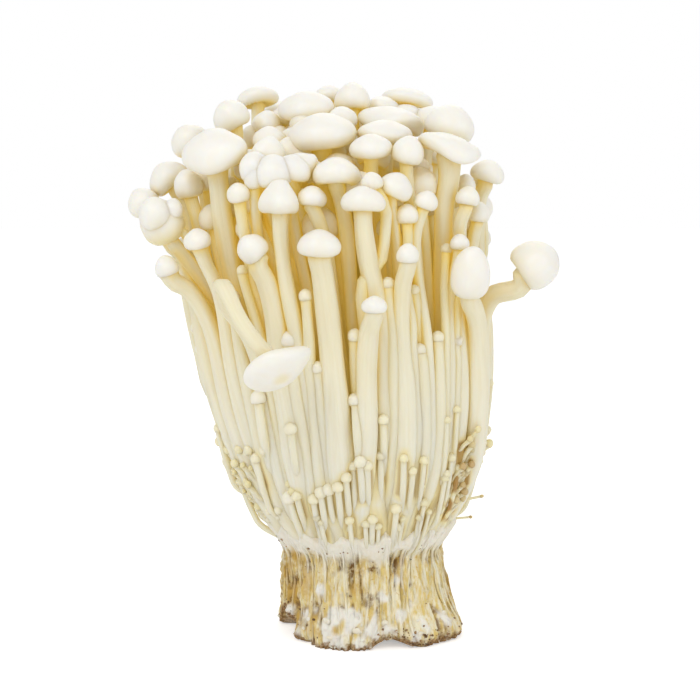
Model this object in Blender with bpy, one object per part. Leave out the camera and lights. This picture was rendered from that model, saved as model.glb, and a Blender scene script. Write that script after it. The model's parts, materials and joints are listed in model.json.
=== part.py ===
"""A bunch of enoki mushrooms that stands on its cut foot, at its real size.

Every mushroom is one solid, its stem and cap together as they grew. The stems stand side by side
on the foot, fan out as they rise and bend round each other's caps. Metres, +Z up, the front of
the bunch towards -Y, and the origin at the centre of the flat face that the foot was cut to.
"""
import math
from collections import namedtuple

import bmesh
import bpy
import numpy as np
from mathutils import Vector

MM = 0.001

# Driving dimensions, in millimetres
FOOT_HEIGHT = 22.0
FOOT_WAIST = 18.3
FOOT_SPREAD = 20.8
FOOT_ROUNDNESS = 0.9
BUNCH_NECK = 17.2
BUNCH_SWELL = 19.8
SWELL_HEIGHT = 22.5
BUNCH_ROUNDNESS = 0.9
LEAN_AT_FOOT = -1.5
LEAN_AT_CROWN = -8.5
LEAN_POWER = 1.3
CROWN_BASE = 102.0
SEAT_GAP = 0.3

# The foot's side: shares of its height where it has a ring of points, its ridges and its lumps
FOOT_RINGS = (0.0, 0.09, 0.2, 0.36, 0.54, 0.72, 0.87, 1.0)
FOOT_FLARE = 1.6
COLLAR_START = 0.8
COLLAR_LIP = 1.0
RIDGES = 23
RIDGE_DEPTH = 0.45
RIDGE_SWAY = 1.6
LUMPS = ((3, 0.6, 0.55), (5, -1.1, 0.4))
EDGE_TUCK = 1.8
CORNER = 2.2
CORNER_TURN = math.radians(-28)
CORNER_POWER = 6

# Fineness
CLUMP_RINGS = 4
STEM_TOLERANCE = 0.3
RIM_SIDES = 8
FOOT_SIDES = 64
WELD = 1e-6

# Stem packing
LEVEL_STEP = 2.5
TOP_LEVEL = 130.0
CLEARANCE = 0.9
SETTLING_ROUNDS = 600
STEM_FIRMNESS = 0.1
CAP_FIRMNESS = 0.85
PUSH = 0.6
STRAIGHTENING = 0.25
HOMING = 0.12
GROWN_BY = 0.35
FOOT_STEM_RADIUS = 1.15
FOOT_REACH = 0.93
STEM_REACH = 0.98
LATE_BEND = 14.0
LATE_BEND_POWER = 2.5
CAP_MARGIN = 0.8
TILTED_SHARE = 0.7
NECK_DROP = 0.35
SHORTEST_NECK_DROP = 1.5
UPRIGHT_START = 0.8
NECK_LENGTH = 1.5
TOUCHING = 1e-6

# Cap outlines: (share of the cap's height, share of its half width), from the gills to the top
CAP_OUTLINES = {
    "dome": ((0.0, 0.45), (0.16, 1.0), (0.55, 0.88), (0.85, 0.55), (1.0, 0.14)),
    "flat": ((0.0, 0.40), (0.26, 1.0), (0.60, 0.88), (0.88, 0.55), (1.0, 0.14)),
    "cone": ((0.0, 0.45), (0.18, 1.0), (0.48, 0.78), (0.80, 0.42), (1.0, 0.12)),
    "egg": ((0.0, 0.50), (0.30, 1.0), (0.65, 0.90), (0.90, 0.52), (1.0, 0.16)),
}

Mushroom = namedtuple(
    "Mushroom", "name across depth height cap_width cap_height stem_width outline tip_right tip_front"
)

# The mushrooms placed one by one. The middle of the cap is across, depth and height from the
# origin in millimetres, and tip_right and tip_front turn the cap from upright, in degrees.
PLACED = (
    Mushroom("crown_top", -3.5, 3, 124.9, 8, 6.4, 3.2, "dome", 0, -8),
    Mushroom("crown_top_back", -9, 12.5, 126, 7, 4, 2.8, "dome", 0, -10),
    Mushroom("crown_top_left", -14, -3, 122.6, 12.5, 6.2, 3.4, "dome", -4, 6),
    Mushroom("crown_back_left", -26, 9, 125.2, 10, 4.2, 3.0, "flat", -8, -10),
    Mushroom("crown_left_egg", -31, -8, 120.2, 8, 6.5, 3.0, "egg", -28, 5),
    Mushroom("crown_left_inner", -23, -1, 119, 7, 5, 2.8, "dome", 0, 0),
    Mushroom("crown_left_dome", -22, -11, 115, 8, 5, 3.0, "dome", 2, 4),
    Mushroom("crown_back_right", 9.5, 14, 125.3, 12.5, 4.2, 3.2, "flat", 6, -4),
    Mushroom("crown_wide_right", 5.5, -2, 119.5, 14.5, 5.5, 3.4, "flat", 8, 4),
    Mushroom("crown_big_right", 18.6, -8, 118.7, 11.5, 7.4, 3.8, "dome", 18, 8),
    Mushroom("crown_wide_left", -10.5, -14, 116.6, 15, 7.2, 4.0, "dome", -6, 10),
    Mushroom("crown_mid_right", 4, -11, 116.4, 12, 4.8, 3.2, "dome", 2, 4),
    Mushroom("crown_mid_front", 0.4, -21.5, 113, 9.2, 5.0, 3.2, "dome", -2, 6),
    Mushroom("crown_mid_side", 8.8, -22.5, 112.2, 7.2, 5.8, 3.0, "dome", 12, 6),
    Mushroom("crown_brim", 17.6, -19, 113.2, 13.4, 4.5, 4.8, "flat", 18, 8),
    Mushroom("shoulder_left", -41, -2, 115, 8.6, 6.4, 3.0, "egg", -24, 4),
    Mushroom("big_left", -33.3, -20, 112.6, 15, 8.2, 4.4, "dome", -8, 14),
    Mushroom("lumpy_left", -24.5, -27.5, 107, 4.6, 6, 2.4, "egg", -6, 10),
    Mushroom("lumpy_middle", -21.5, -22.5, 111.5, 7.4, 7, 2.8, "dome", 8, 8),
    Mushroom("lumpy_right", -13.6, -25, 109, 6, 5.4, 2.6, "cone", 58, 6),
    Mushroom("left_tilted", -46, -4, 106.6, 9.5, 6, 3.2, "dome", -38, 0),
    Mushroom("left_inner", -39.5, -13, 105, 6.4, 6, 2.8, "egg", -10, 5),
    Mushroom("left_low", -49.8, -6, 101, 7.5, 5.8, 3.0, "dome", -30, 4),
    Mushroom("left_bulb", -45.5, -17, 97, 10, 9, 3.8, "egg", -25, 18),
    Mushroom("left_knob", -44.2, -20.5, 87.2, 5.4, 4.4, 4.0, "dome", -20, 8),
    Mushroom("left_small", -37, -24, 93.2, 6.2, 4.2, 3.4, "dome", -10, 6),
    Mushroom("front_arched", -7.5, -25, 107.5, 10.8, 5.8, 3.2, "dome", 0, -6),
    Mushroom("front_behind", -10.4, -27.2, 102.3, 6.4, 4.2, 3.0, "dome", 6, -4),
    Mushroom("front_conical", -19.2, -30.5, 102.3, 9.2, 6.8, 3.2, "cone", 0, 6),
    Mushroom("front_tall", -1.4, -31.5, 101.8, 9.4, 5.2, 4.2, "dome", 0, -2),
    Mushroom("front_hooded", 5.8, -27.6, 104.6, 7.8, 5.2, 2.8, "dome", 26, 0),
    Mushroom("front_tucked", 11, -27, 101.5, 5, 3.8, 2.4, "dome", 20, 6),
    Mushroom("front_thick", -10.5, -34, 92.8, 9.2, 5.2, 4.8, "dome", 2, 8),
    Mushroom("front_nodding", -25, -30.5, 91.5, 6.6, 5.6, 4.0, "egg", -42, 10),
    Mushroom("front_plain", 8, -33.5, 90.5, 4.8, 4, 3.4, "dome", 0, 4),
    Mushroom("front_stout", 1, -36, 80, 5.4, 3.4, 4.0, "dome", 0, 6),
    Mushroom("right_upper", 27, -8, 107.8, 7.6, 4.7, 3.0, "dome", 14, 4),
    Mushroom("right_hidden", 21.5, -12, 105, 5, 4, 2.4, "dome", 6, 0),
    Mushroom("right_middle", 21.5, -21, 102.3, 5.4, 4, 2.6, "dome", 10, -2),
    Mushroom("right_round", 23.8, -17, 98.8, 5.4, 4.3, 2.8, "dome", 6, 2),
    Mushroom("right_close", 19.5, -24, 92.5, 4.4, 3.2, 2.2, "dome", 0, 4),
    Mushroom("right_egg", 21.5, -30, 86.6, 8.4, 10.6, 4.2, "egg", 4, 20),
    Mushroom("right_leaning", 37.3, -18, 87.6, 11.2, 9, 3.6, "egg", 56, 8),
)

# Stems that don't rise straight towards their caps: where they stand, as shares of the bunch's
# half width and half depth
STEM_SHARES = {
    "right_egg": (0.79, -0.57),
    "right_leaning": (0.89, -0.38),
    "right_upper": (0.94, -0.18),
    "right_hidden": (0.66, -0.2),
}

# The rows that close the back of the crown: angles round the bunch in degrees from +X, reach as
# a share of the bunch's half width, height of the caps, and their width
BackRow = namedtuple("BackRow", "name angles reach height cap_width")
BACK_ROWS = (
    BackRow("back_outer", (8, 34, 60, 86, 112, 138, 162), 0.97, 99, 9.0),
    BackRow("back_upper", (22, 52, 90, 126, 154), 0.76, 111, 10),
    BackRow("back_crown", (66, 118), 0.62, 119.5, 9.5),
)
BACK_WAVE = 2.4
BACK_RISE = 2.2
BACK_WIDTH_WAVE = 1.7
BACK_WIDENING = 1.2
BACK_CAP_HEIGHT = 5.2
BACK_STEM_WIDTH = 3.4
BACK_TILT = 18

# The clump in the middle, whose stems have grown into one
CLUMP_SHARE = (0.08, 0.16)
CLUMP_STEMS = 5
CLUMP_HEIGHT = 102.0
CLUMP_RADIUS_AT_FOOT = 2.3
CLUMP_RADIUS_AT_CROWN = 4.2
CLUMP_STEM_WIDTH = 3.6
CLUMP_CAP_WIDTH = 7.5
CLUMP_CAP_HEIGHT = 5.0
CLUMP_UNEVENNESS = 1.8
CLUMP_MIDDLE_RISE = 5.0
CLUMP_TILT = 0.35
CLUMP_NECK = 0.6

# The mushroom that has bent over: where its stem turns down, and the cap that hangs from it
BENT_KNEE = Vector((-30.5, -32.0, 80.0))
BENT_TURN = ((-30.8, -34.6, 83.6), (-29.8, -37.4, 83.2), (-26.8, -40.0, 77.6), (-22.6, -41.0, 71.6))
BENT_CAP = Vector((-18.8, -42.4, 66.8))
BENT_CAP_AXIS = Vector((0.39, -0.56, -0.73))
BENT_CAP_WIDTH = 13.6
BENT_CAP_HEIGHT = 4.4
BENT_STEM_WIDTH = 3.4


def swell(height):
    """Half the width of the bunch at a height: a narrow neck that swells and then rises straight."""
    rise = max(0.0, height - FOOT_HEIGHT)
    return BUNCH_NECK + BUNCH_SWELL * (1 - math.exp(-rise / SWELL_HEIGHT))


def lean(height):
    """How far across the middle of the bunch has moved at a height."""
    share = min(1.0, max(0.0, height - FOOT_HEIGHT) / (CROWN_BASE - FOOT_HEIGHT))
    return LEAN_AT_FOOT + LEAN_AT_CROWN * share**LEAN_POWER


def share_of(across, depth, height):
    """A place as shares of the bunch's half width and half depth at its height."""
    return np.array([
        (across - lean(height)) / swell(height),
        depth / (swell(height) * BUNCH_ROUNDNESS),
    ])


def place_of(share, height):
    """The place, across and in depth, that a pair of shares means at a height."""
    return np.array([
        lean(height) + share[0] * swell(height),
        share[1] * swell(height) * BUNCH_ROUNDNESS,
    ])


def back_mushrooms():
    """The rows at the back, each cap a little wider, taller or lower than the one beside it."""
    for row in BACK_ROWS:
        for number, angle in enumerate(row.angles):
            turn = math.radians(angle)
            wave = math.sin(BACK_WAVE * number + row.reach * 9)
            height = row.height + BACK_RISE * wave
            across, depth = place_of(
                (row.reach * math.cos(turn), row.reach * math.sin(turn)), height
            )
            yield Mushroom(
                f"{row.name}_{number + 1}", across, depth, height,
                row.cap_width + BACK_WIDENING * math.sin(BACK_WIDTH_WAVE * number),
                BACK_CAP_HEIGHT + 0.7 * wave, BACK_STEM_WIDTH + 0.4 * wave,
                "dome" if number % 2 else "flat",
                BACK_TILT * row.reach * math.cos(turn), -BACK_TILT * row.reach * math.sin(turn),
            )


def cap_axis(mushroom):
    """The way a cap points, from its gills to its top."""
    side = math.tan(math.radians(mushroom.tip_right))
    front = math.tan(math.radians(mushroom.tip_front))
    return Vector((side, -front, 1.0)).normalized()


def stem_radius(mushroom, rise):
    """Half a stem's width at a share of its height: slim at the foot, and full from GROWN_BY up."""
    full = mushroom.stem_width / 2
    slim = min(full, FOOT_STEM_RADIUS)
    return slim + (full - slim) * min(1.0, rise / GROWN_BY)


class Growth:
    """The stems' centrelines, level by level, pushed apart until no stem or cap meets another."""

    def __init__(self, mushrooms):
        self.mushrooms = mushrooms
        self.levels = np.arange(FOOT_HEIGHT + SEAT_GAP, TOP_LEVEL, LEVEL_STEP)
        count = len(mushrooms)
        self.middle = np.zeros((count + 1, len(self.levels), 2))
        self.radius = np.full((count + 1, len(self.levels)), -1.0)
        self.firm = np.zeros((count + 1, len(self.levels)))
        for row, mushroom in enumerate(mushrooms):
            self.start(row, mushroom)
        self.start_clump(count)
        self.wanted = self.middle.copy()

    def start(self, row, mushroom):
        axis = cap_axis(mushroom)
        under = Vector((mushroom.across, mushroom.depth, mushroom.height))
        under -= axis * mushroom.cap_height * 0.5
        share = share_of(under.x, under.y, under.z)
        stem_share = np.array(STEM_SHARES.get(mushroom.name, share))
        stem_reach = np.linalg.norm(stem_share)
        at_foot = stem_share * min(1.0, FOOT_REACH / stem_reach)
        along_stem = stem_share * min(1.0, STEM_REACH / stem_reach)
        tilted = mushroom.cap_width * abs(axis.x) * TILTED_SHARE
        half_drop = 0.5 * (mushroom.cap_height * axis.z + tilted) + CAP_MARGIN
        for level, height in enumerate(self.levels):
            above = height - mushroom.height
            if above > half_drop:
                break
            rise = min(1.0, (height - FOOT_HEIGHT) / (under.z - FOOT_HEIGHT))
            turn = rise * rise * (3 - 2 * rise)
            late = max(0.0, 1 - (under.z - height) / LATE_BEND)
            share_here = at_foot + (along_stem - at_foot) * turn
            share_here = share_here + (share - along_stem) * late**LATE_BEND_POWER
            if above < -half_drop:
                self.middle[row, level] = place_of(share_here, height)
                self.radius[row, level] = stem_radius(mushroom, rise)
                self.firm[row, level] = STEM_FIRMNESS
            else:
                self.middle[row, level] = (mushroom.across, mushroom.depth)
                roundness = math.sqrt(max(0.1, 1 - max(0.0, above / half_drop) ** 2))
                self.radius[row, level] = mushroom.cap_width / 2 * roundness
                self.firm[row, level] = CAP_FIRMNESS

    def start_clump(self, row):
        for level, height in enumerate(self.levels):
            if height > CLUMP_HEIGHT + CLUMP_CAP_HEIGHT:
                break
            rise = (height - FOOT_HEIGHT) / (CLUMP_HEIGHT - FOOT_HEIGHT)
            self.middle[row, level] = place_of(CLUMP_SHARE, height)
            self.radius[row, level] = clump_radius(rise) + CLUMP_STEM_WIDTH / 2
            if height > CLUMP_HEIGHT - CLUMP_CAP_HEIGHT:
                self.radius[row, level] = clump_radius(1.0) + CLUMP_CAP_WIDTH / 2
            self.firm[row, level] = 1.0

    def push_apart(self):
        here = self.radius > 0
        give = 1 - self.firm
        gap = self.middle[:, None] - self.middle[None]
        distance = np.maximum(np.linalg.norm(gap, axis=3), TOUCHING)
        room = self.radius[:, None] + self.radius[None] + CLEARANCE
        both = here[:, None] & here[None]
        both[np.arange(len(here)), np.arange(len(here))] = False
        short = np.where(both, np.maximum(room - distance, 0), 0)
        share = give[:, None] / np.maximum(give[:, None] + give[None], TOUCHING)
        moved = (gap / distance[..., None]) * (short * share * PUSH)[..., None]
        return moved.sum(axis=1)

    def settle(self):
        for _ in range(SETTLING_ROUNDS):
            self.middle += self.push_apart()
            give = (1 - self.firm)[:, 1:-1, None]
            drift = self.middle - self.wanted
            beside = (drift[:, 2:] + drift[:, :-2]) / 2
            known = (self.radius[:, 2:] > 0) & (self.radius[:, 1:-1] > 0)
            bend = np.where(known[..., None], beside - drift[:, 1:-1], 0)
            self.middle[:, 1:-1] += STRAIGHTENING * give * bend
            back = self.wanted - self.middle
            self.middle += HOMING * self.firm[..., None] ** 2 * back
            self.keep_on_foot()
        return self

    def keep_on_foot(self):
        """The lowest level stays on the foot's top."""
        shares = (self.middle[:, 0] - (lean(FOOT_HEIGHT), 0)) / (
            BUNCH_NECK, BUNCH_NECK * BUNCH_ROUNDNESS
        )
        reach = np.linalg.norm(shares, axis=1, keepdims=True)
        over = np.minimum(1.0, FOOT_REACH / np.maximum(reach, TOUCHING))
        self.middle[:, 0] = shares * over * (BUNCH_NECK, BUNCH_NECK * BUNCH_ROUNDNESS)
        self.middle[:, 0, 0] += lean(FOOT_HEIGHT)

    def stem_stations(self, row, last):
        """A stem's stations from its seat up to the height last, no more than its bends need."""
        seat = FOOT_HEIGHT + SEAT_GAP
        heights = [seat, seat + UPRIGHT_START, *(h for h in self.levels[1:] if h < last - 1), last]
        stations = [self.stem_at(row, height) for height in heights]
        stations[1] = (stations[0][0] + Vector((0, 0, UPRIGHT_START)), stations[1][1])
        return [stations[0], *simplest(stations[1:])]

    def stem_at(self, row, height):
        """The centre and the radius of a stem at a height."""
        held = self.radius[row] > 0
        levels = self.levels[held]
        across = np.interp(height, levels, self.middle[row, held, 0])
        depth = np.interp(height, levels, self.middle[row, held, 1])
        mushroom = self.mushrooms[row]
        rise = (height - FOOT_HEIGHT) / (mushroom.height - FOOT_HEIGHT)
        return Vector((across, depth, height)), stem_radius(mushroom, rise)


def simplest(stations):
    """The fewest of the stations that still follow the line through them all."""
    first, last = stations[0][0], stations[-1][0]
    furthest, off = 0, STEM_TOLERANCE
    for number, (centre, _) in enumerate(stations[1:-1], 1):
        share = (centre.z - first.z) / (last.z - first.z)
        apart = (centre - first.lerp(last, share)).length
        if apart > off:
            furthest, off = number, apart
    if not furthest:
        return [stations[0], stations[-1]]
    return simplest(stations[: furthest + 1])[:-1] + simplest(stations[furthest:])


def clump_radius(rise):
    """How far the clump's outer stems stand from its middle."""
    return CLUMP_RADIUS_AT_FOOT + (CLUMP_RADIUS_AT_CROWN - CLUMP_RADIUS_AT_FOOT) * min(1.0, rise)


def material(name, colour, roughness):
    made = bpy.data.materials.new(name)
    made.use_nodes = True
    shader = made.node_tree.nodes["Principled BSDF"]
    shader.inputs["Base Color"].default_value = (*colour, 1)
    shader.inputs["Roughness"].default_value = roughness
    shader.inputs["Metallic"].default_value = 0
    return made


def tube(name, stations, sides_material, collection):
    """A solid drawn along stations, each a centre and a radius in millimetres."""
    curve = bpy.data.curves.new(name, "CURVE")
    curve.dimensions = "3D"
    curve.bevel_depth = MM
    curve.bevel_resolution = RIM_SIDES // 2 - 2
    curve.use_fill_caps = True
    spline = curve.splines.new("POLY")
    spline.points.add(len(stations) - 1)
    for point, (centre, radius) in zip(spline.points, stations):
        point.co = (*(centre * MM), 1)
        point.radius = radius
    spline.use_smooth = True
    curve.materials.append(sides_material)
    made = bpy.data.objects.new(name, curve)
    collection.objects.link(made)
    return made


def cap_stations(under, axis, width, height, outline):
    """The cap's stations, from the gills at under to the top along axis."""
    return [
        (under + axis * height * rise, width / 2 * reach)
        for rise, reach in CAP_OUTLINES[outline]
    ]


def upright_mushroom(row, growth, sides_material, collection):
    """One mushroom, its stem along the settled centreline and its cap where it was placed."""
    mushroom = growth.mushrooms[row]
    axis = cap_axis(mushroom)
    middle = Vector((mushroom.across, mushroom.depth, mushroom.height))
    held = growth.radius[row] > 0
    drift = growth.middle[row, held][-1] - growth.wanted[row, held][-1]
    middle += Vector((drift[0], drift[1], 0))
    under = middle - axis * mushroom.cap_height * 0.5
    tilted = mushroom.cap_width * math.hypot(axis.x, axis.y)
    last = under.z - max(SHORTEST_NECK_DROP, NECK_DROP * tilted)
    stations = growth.stem_stations(row, last)
    neck, radius = stations[-1]
    stations[-1] = (neck.lerp(under - axis * NECK_LENGTH, 0.5), radius)
    stations += cap_stations(under, axis, mushroom.cap_width, mushroom.cap_height, mushroom.outline)
    return tube(f"{mushroom.name}_mushroom", stations, sides_material, collection)


def bent_mushroom(growth, row, sides_material, collection):
    """The mushroom whose stem has bent over, so that its cap hangs in front of the bunch."""
    stations = growth.stem_stations(row, BENT_KNEE.z)
    stations += [(Vector(turn), BENT_STEM_WIDTH / 2) for turn in BENT_TURN]
    axis = BENT_CAP_AXIS.normalized()
    under = BENT_CAP - axis * BENT_CAP_HEIGHT * 0.5
    stations += cap_stations(under, axis, BENT_CAP_WIDTH, BENT_CAP_HEIGHT, "flat")
    return tube("bent_over_mushroom", stations, sides_material, collection)


def as_mesh(made):
    """The mesh of a curve object, closed where its ends meet its sides."""
    graph = bpy.context.evaluated_depsgraph_get()
    mesh = bpy.data.meshes.new_from_object(made.evaluated_get(graph))
    work = bmesh.new()
    work.from_mesh(mesh)
    bmesh.ops.remove_doubles(work, verts=work.verts, dist=WELD)
    work.to_mesh(mesh)
    work.free()
    solid = bpy.data.objects.new(made.name, mesh)
    solid.matrix_world = made.matrix_world
    bpy.data.objects.remove(made)
    return solid


def middle_clump(sides_material, collection, cutters):
    """Stems in the middle that have grown into one solid, joined one after another."""
    stems = []
    seat = FOOT_HEIGHT + SEAT_GAP
    for number in range(CLUMP_STEMS + 1):
        turn = 2 * math.pi * number / CLUMP_STEMS
        away = 0.0 if number == CLUMP_STEMS else 1.0
        uneven = CLUMP_UNEVENNESS * math.sin(2.6 * number)
        top = CLUMP_HEIGHT + (uneven if away else CLUMP_MIDDLE_RISE)
        stations = []
        for ring in range(CLUMP_RINGS):
            height = seat + (top - seat) * ring / (CLUMP_RINGS - 1)
            rise = (height - FOOT_HEIGHT) / (CLUMP_HEIGHT - FOOT_HEIGHT)
            across, depth = place_of(CLUMP_SHARE, height)
            reach = clump_radius(rise) * away
            place = Vector((across + reach * math.cos(turn), depth + reach * math.sin(turn), height))
            stations.append((place, CLUMP_STEM_WIDTH / 2))
        outward = Vector((math.cos(turn), math.sin(turn), 0)) * CLUMP_TILT * away
        axis = (outward + Vector((0, 0, 1))).normalized()
        under = stations[-1][0] + Vector((0, 0, CLUMP_NECK))
        stations += cap_stations(under, axis, CLUMP_CAP_WIDTH, CLUMP_CAP_HEIGHT, "dome")
        stem = as_mesh(tube(f"clump_stem_{number + 1}", stations, sides_material, collection))
        stems.append(stem)
    clump = stems.pop()
    clump.name = "middle_clump"
    collection.objects.link(clump)
    for stem in stems:
        cutters.objects.link(stem)
        stem.hide_render = True
        stem.display_type = "WIRE"
        join = clump.modifiers.new(stem.name, "BOOLEAN")
        join.operation = "UNION"
        join.object = stem
    return clump


def root_foot(sides_material, collection):
    """The foot: stem bases grown into one block, ridged down its sides, cut flat underneath."""
    work = bmesh.new()
    bmesh.ops.create_circle(work, cap_ends=False, segments=FOOT_SIDES, radius=1.0)
    ring = list(work.edges)
    rings = [[v for v in work.verts]]
    for _ in FOOT_RINGS[1:]:
        grown = bmesh.ops.extrude_edge_only(work, edges=ring)["geom"]
        ring = [g for g in grown if isinstance(g, bmesh.types.BMEdge)]
        rings.append([g for g in grown if isinstance(g, bmesh.types.BMVert)])
    for share, verts in zip(FOOT_RINGS, rings):
        for vert in verts:
            turn = math.atan2(vert.co.y, vert.co.x)
            vert.co = foot_surface(turn, share) * MM
    bmesh.ops.holes_fill(work, edges=[e for e in work.edges if e.is_boundary])
    bmesh.ops.recalc_face_normals(work, faces=work.faces)
    mesh = bpy.data.meshes.new("root_foot")
    work.to_mesh(mesh)
    work.free()
    mesh.shade_smooth()
    mesh.materials.append(sides_material)
    made = bpy.data.objects.new("root_foot", mesh)
    collection.objects.link(made)
    return made


def foot_surface(turn, share):
    """A point on the foot's side, at a turn round it and a share of its height."""
    waist = FOOT_WAIST + (FOOT_SPREAD - FOOT_WAIST) * (1 - share) ** FOOT_FLARE
    collar = max(0.0, share - COLLAR_START) / (1 - COLLAR_START)
    waist += (BUNCH_NECK + COLLAR_LIP - FOOT_WAIST) * collar
    lump = sum(size * math.sin(count * turn + start) for count, start, size in LUMPS)
    wavy = math.sin(RIDGES * turn + RIDGE_SWAY * math.sin(2 * turn))
    ridge = RIDGE_DEPTH * wavy * math.sin(math.pi * share)
    tuck = EDGE_TUCK * max(0.0, 1 - share / FOOT_RINGS[1])
    corner = CORNER * max(0.0, math.cos(turn - CORNER_TURN)) ** CORNER_POWER * (1 - share) ** 2
    radius = waist + lump * (1 - 0.5 * share) + ridge + corner - tuck
    across = radius * math.cos(turn) + LEAN_AT_FOOT * share
    return Vector((across, radius * FOOT_ROUNDNESS * math.sin(turn), FOOT_HEIGHT * share))


def main():
    for old in list(bpy.data.objects):
        bpy.data.objects.remove(old)
    scene = bpy.context.scene
    bunch = bpy.data.collections.new("enoki_bunch")
    cutters = bpy.data.collections.new("joined_stems")
    scene.collection.children.link(bunch)
    scene.collection.children.link(cutters)
    flesh = material("mushroom_flesh", (0.93, 0.88, 0.74), 0.45)
    rooted = material("root_foot", (0.80, 0.68, 0.45), 0.75)

    knee = Mushroom(
        "bent_over", BENT_KNEE.x, BENT_KNEE.y, BENT_KNEE.z, BENT_STEM_WIDTH, 2.0,
        BENT_STEM_WIDTH, "dome", 0, 0,
    )
    mushrooms = [*PLACED, *back_mushrooms(), knee]
    growth = Growth(mushrooms).settle()
    root_foot(rooted, bunch)
    middle_clump(flesh, bunch, cutters)
    for row in range(len(mushrooms) - 1):
        upright_mushroom(row, growth, flesh, bunch)
    bent_mushroom(growth, len(mushrooms) - 1, flesh, bunch)


if __name__ == "__main__":
    main()
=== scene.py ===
"""A bunch of enoki mushrooms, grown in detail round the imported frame.

The frame says where each large mushroom stands: its rings give the line of the stem and the outline
of the cap. This script grows the visible flesh along those rings, fills the bunch with the slim
mushrooms and pins that stand between them, and builds the root foot that they all grow from.
Lengths are in metres in the scene, and in millimetres while a mushroom is being shaped.
"""
import json
import math
import random
from collections import namedtuple

import bmesh
import bpy
import numpy as np
from bpy.props import FloatProperty, FloatVectorProperty, IntProperty, PointerProperty
from mathutils import Euler, Matrix, Vector, noise
from mathutils.bvhtree import BVHTree
from mathutils.kdtree import KDTree

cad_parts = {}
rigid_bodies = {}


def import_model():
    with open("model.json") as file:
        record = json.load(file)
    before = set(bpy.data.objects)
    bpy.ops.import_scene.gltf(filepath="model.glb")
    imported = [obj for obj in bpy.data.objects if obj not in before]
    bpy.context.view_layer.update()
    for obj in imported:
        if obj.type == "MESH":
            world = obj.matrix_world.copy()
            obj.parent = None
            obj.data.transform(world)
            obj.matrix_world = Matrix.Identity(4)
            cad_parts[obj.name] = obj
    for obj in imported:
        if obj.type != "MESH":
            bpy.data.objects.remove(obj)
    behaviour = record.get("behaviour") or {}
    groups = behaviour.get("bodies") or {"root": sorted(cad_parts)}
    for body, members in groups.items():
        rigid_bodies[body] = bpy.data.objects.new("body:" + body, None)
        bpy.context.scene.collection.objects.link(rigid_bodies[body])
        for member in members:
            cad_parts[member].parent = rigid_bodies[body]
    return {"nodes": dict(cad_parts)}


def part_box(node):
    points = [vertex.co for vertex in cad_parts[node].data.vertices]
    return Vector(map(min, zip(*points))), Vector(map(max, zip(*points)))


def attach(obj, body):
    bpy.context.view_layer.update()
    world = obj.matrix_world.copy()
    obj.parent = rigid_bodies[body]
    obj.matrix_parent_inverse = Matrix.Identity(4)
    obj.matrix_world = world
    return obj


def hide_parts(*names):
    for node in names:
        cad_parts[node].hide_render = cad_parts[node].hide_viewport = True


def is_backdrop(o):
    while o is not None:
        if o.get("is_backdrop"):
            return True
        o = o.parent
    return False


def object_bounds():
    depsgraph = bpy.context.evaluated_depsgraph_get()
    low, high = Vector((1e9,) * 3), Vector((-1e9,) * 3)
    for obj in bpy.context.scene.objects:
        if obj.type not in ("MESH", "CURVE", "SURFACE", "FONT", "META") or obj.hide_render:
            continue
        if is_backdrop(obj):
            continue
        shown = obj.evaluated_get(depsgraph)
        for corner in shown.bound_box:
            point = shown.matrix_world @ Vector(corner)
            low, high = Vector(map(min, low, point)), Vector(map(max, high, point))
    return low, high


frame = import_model()
CAD_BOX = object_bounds()

bl_info = {
    "name": "Enoki Bunch",
    "version": (1, 0, 0),
    "blender": (4, 5, 0),
    "location": "View3D > Sidebar > Enoki",
    "description": "Grows a bunch of enoki mushrooms round the packed frame",
    "category": "Add Mesh",
}

MM = 0.001
BODY = "root"
FOOT = "root_foot"
CLUMP = "middle_clump"
WELD = 1e-5
BLANK_WELD = 1e-4
RING_SIDES = 8
CAP_RINGS = 5
FOOT_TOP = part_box(FOOT)[1].z / MM
CROWN_TOP = CAD_BOX[1][2] / MM

# Lengths below are in millimetres, up to the stage

# How slim stems find their places: level by level they push each other aside, straighten, and
# drift back to where they are wanted. A firm stem yields less than a supple one
LEVEL_STEP = 3.0
LEVEL_CLEAR = 0.4 * LEVEL_STEP
SEAT_REACH = 0.95
SLIM_FIRMNESS = 0.06
SLIM_CAP_FIRMNESS = 0.8
PUSH = 0.5
STRAIGHTENING = 0.3
HOMING = 0.2
INSIDE = 0.6
FUSING = 0.35
FUSED_BELOW = 65.0
SETTLING_ROUNDS = 240
PAIRS_EVERY = 20
PAIR_MARGIN = 1.5

# A stem is wider where it has fused with its neighbours, waves a little, and starts inside the foot
FUSED_WIDTH = 0.45
FUSED_FROM = 38.0
FUSED_TO = 82.0
SUNK = 5.0
ROOT_TUCK = 0.056
WANDER = 0.25
STEM_WAVES = (9.0, 11.0, 7.0, 3.1)
STEM_WAVE_WIDTHS = (0.05, 0.03)
STEADY_LENGTH = 40.0

# Slim mushrooms: how much the stem spreads towards the foot and up to where, and the cap's tilt,
# height and how far its gills lie below its middle, as shares of its width
SPREAD = 0.35
SPREAD_UP_TO = 0.6
CAP_TILT = 0.2
UPRIGHT = 0.6
CAP_TALL = 0.82
GILLS_BELOW = 0.4

# Mushrooms with small caps are warmer in colour. The young ones at the front stand below
# YOUNG_BELOW, and follow the surface behind them, a few millimetres proud of it or sunk in it
YOUNG_CAP = 4.2
YOUNG_STEM = 0.42
YOUNG_BELOW = 62.0
YOUNG_STEP = 2.0
YOUNG_SINK = 5.0
YOUNG_PROUD = 3.0
YOUNG_SHOWN = 0.25
YOUNG_FOLLOWS = 0.6
FRONT_REACH = 0.99
NEAR_EDGE = 0.995
FRONT_CLEAR = -90.0

# Painted brown shade round the lowest young mushrooms, and brown stains round the dried pins
SHADE_AND_STAIN_REACH = 2.6
SHADE_AND_STAIN_CORE = 0.4
SHADE_AND_STAIN_WARMTH = 1.6
SHADED_BELOW = 50.0

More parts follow.
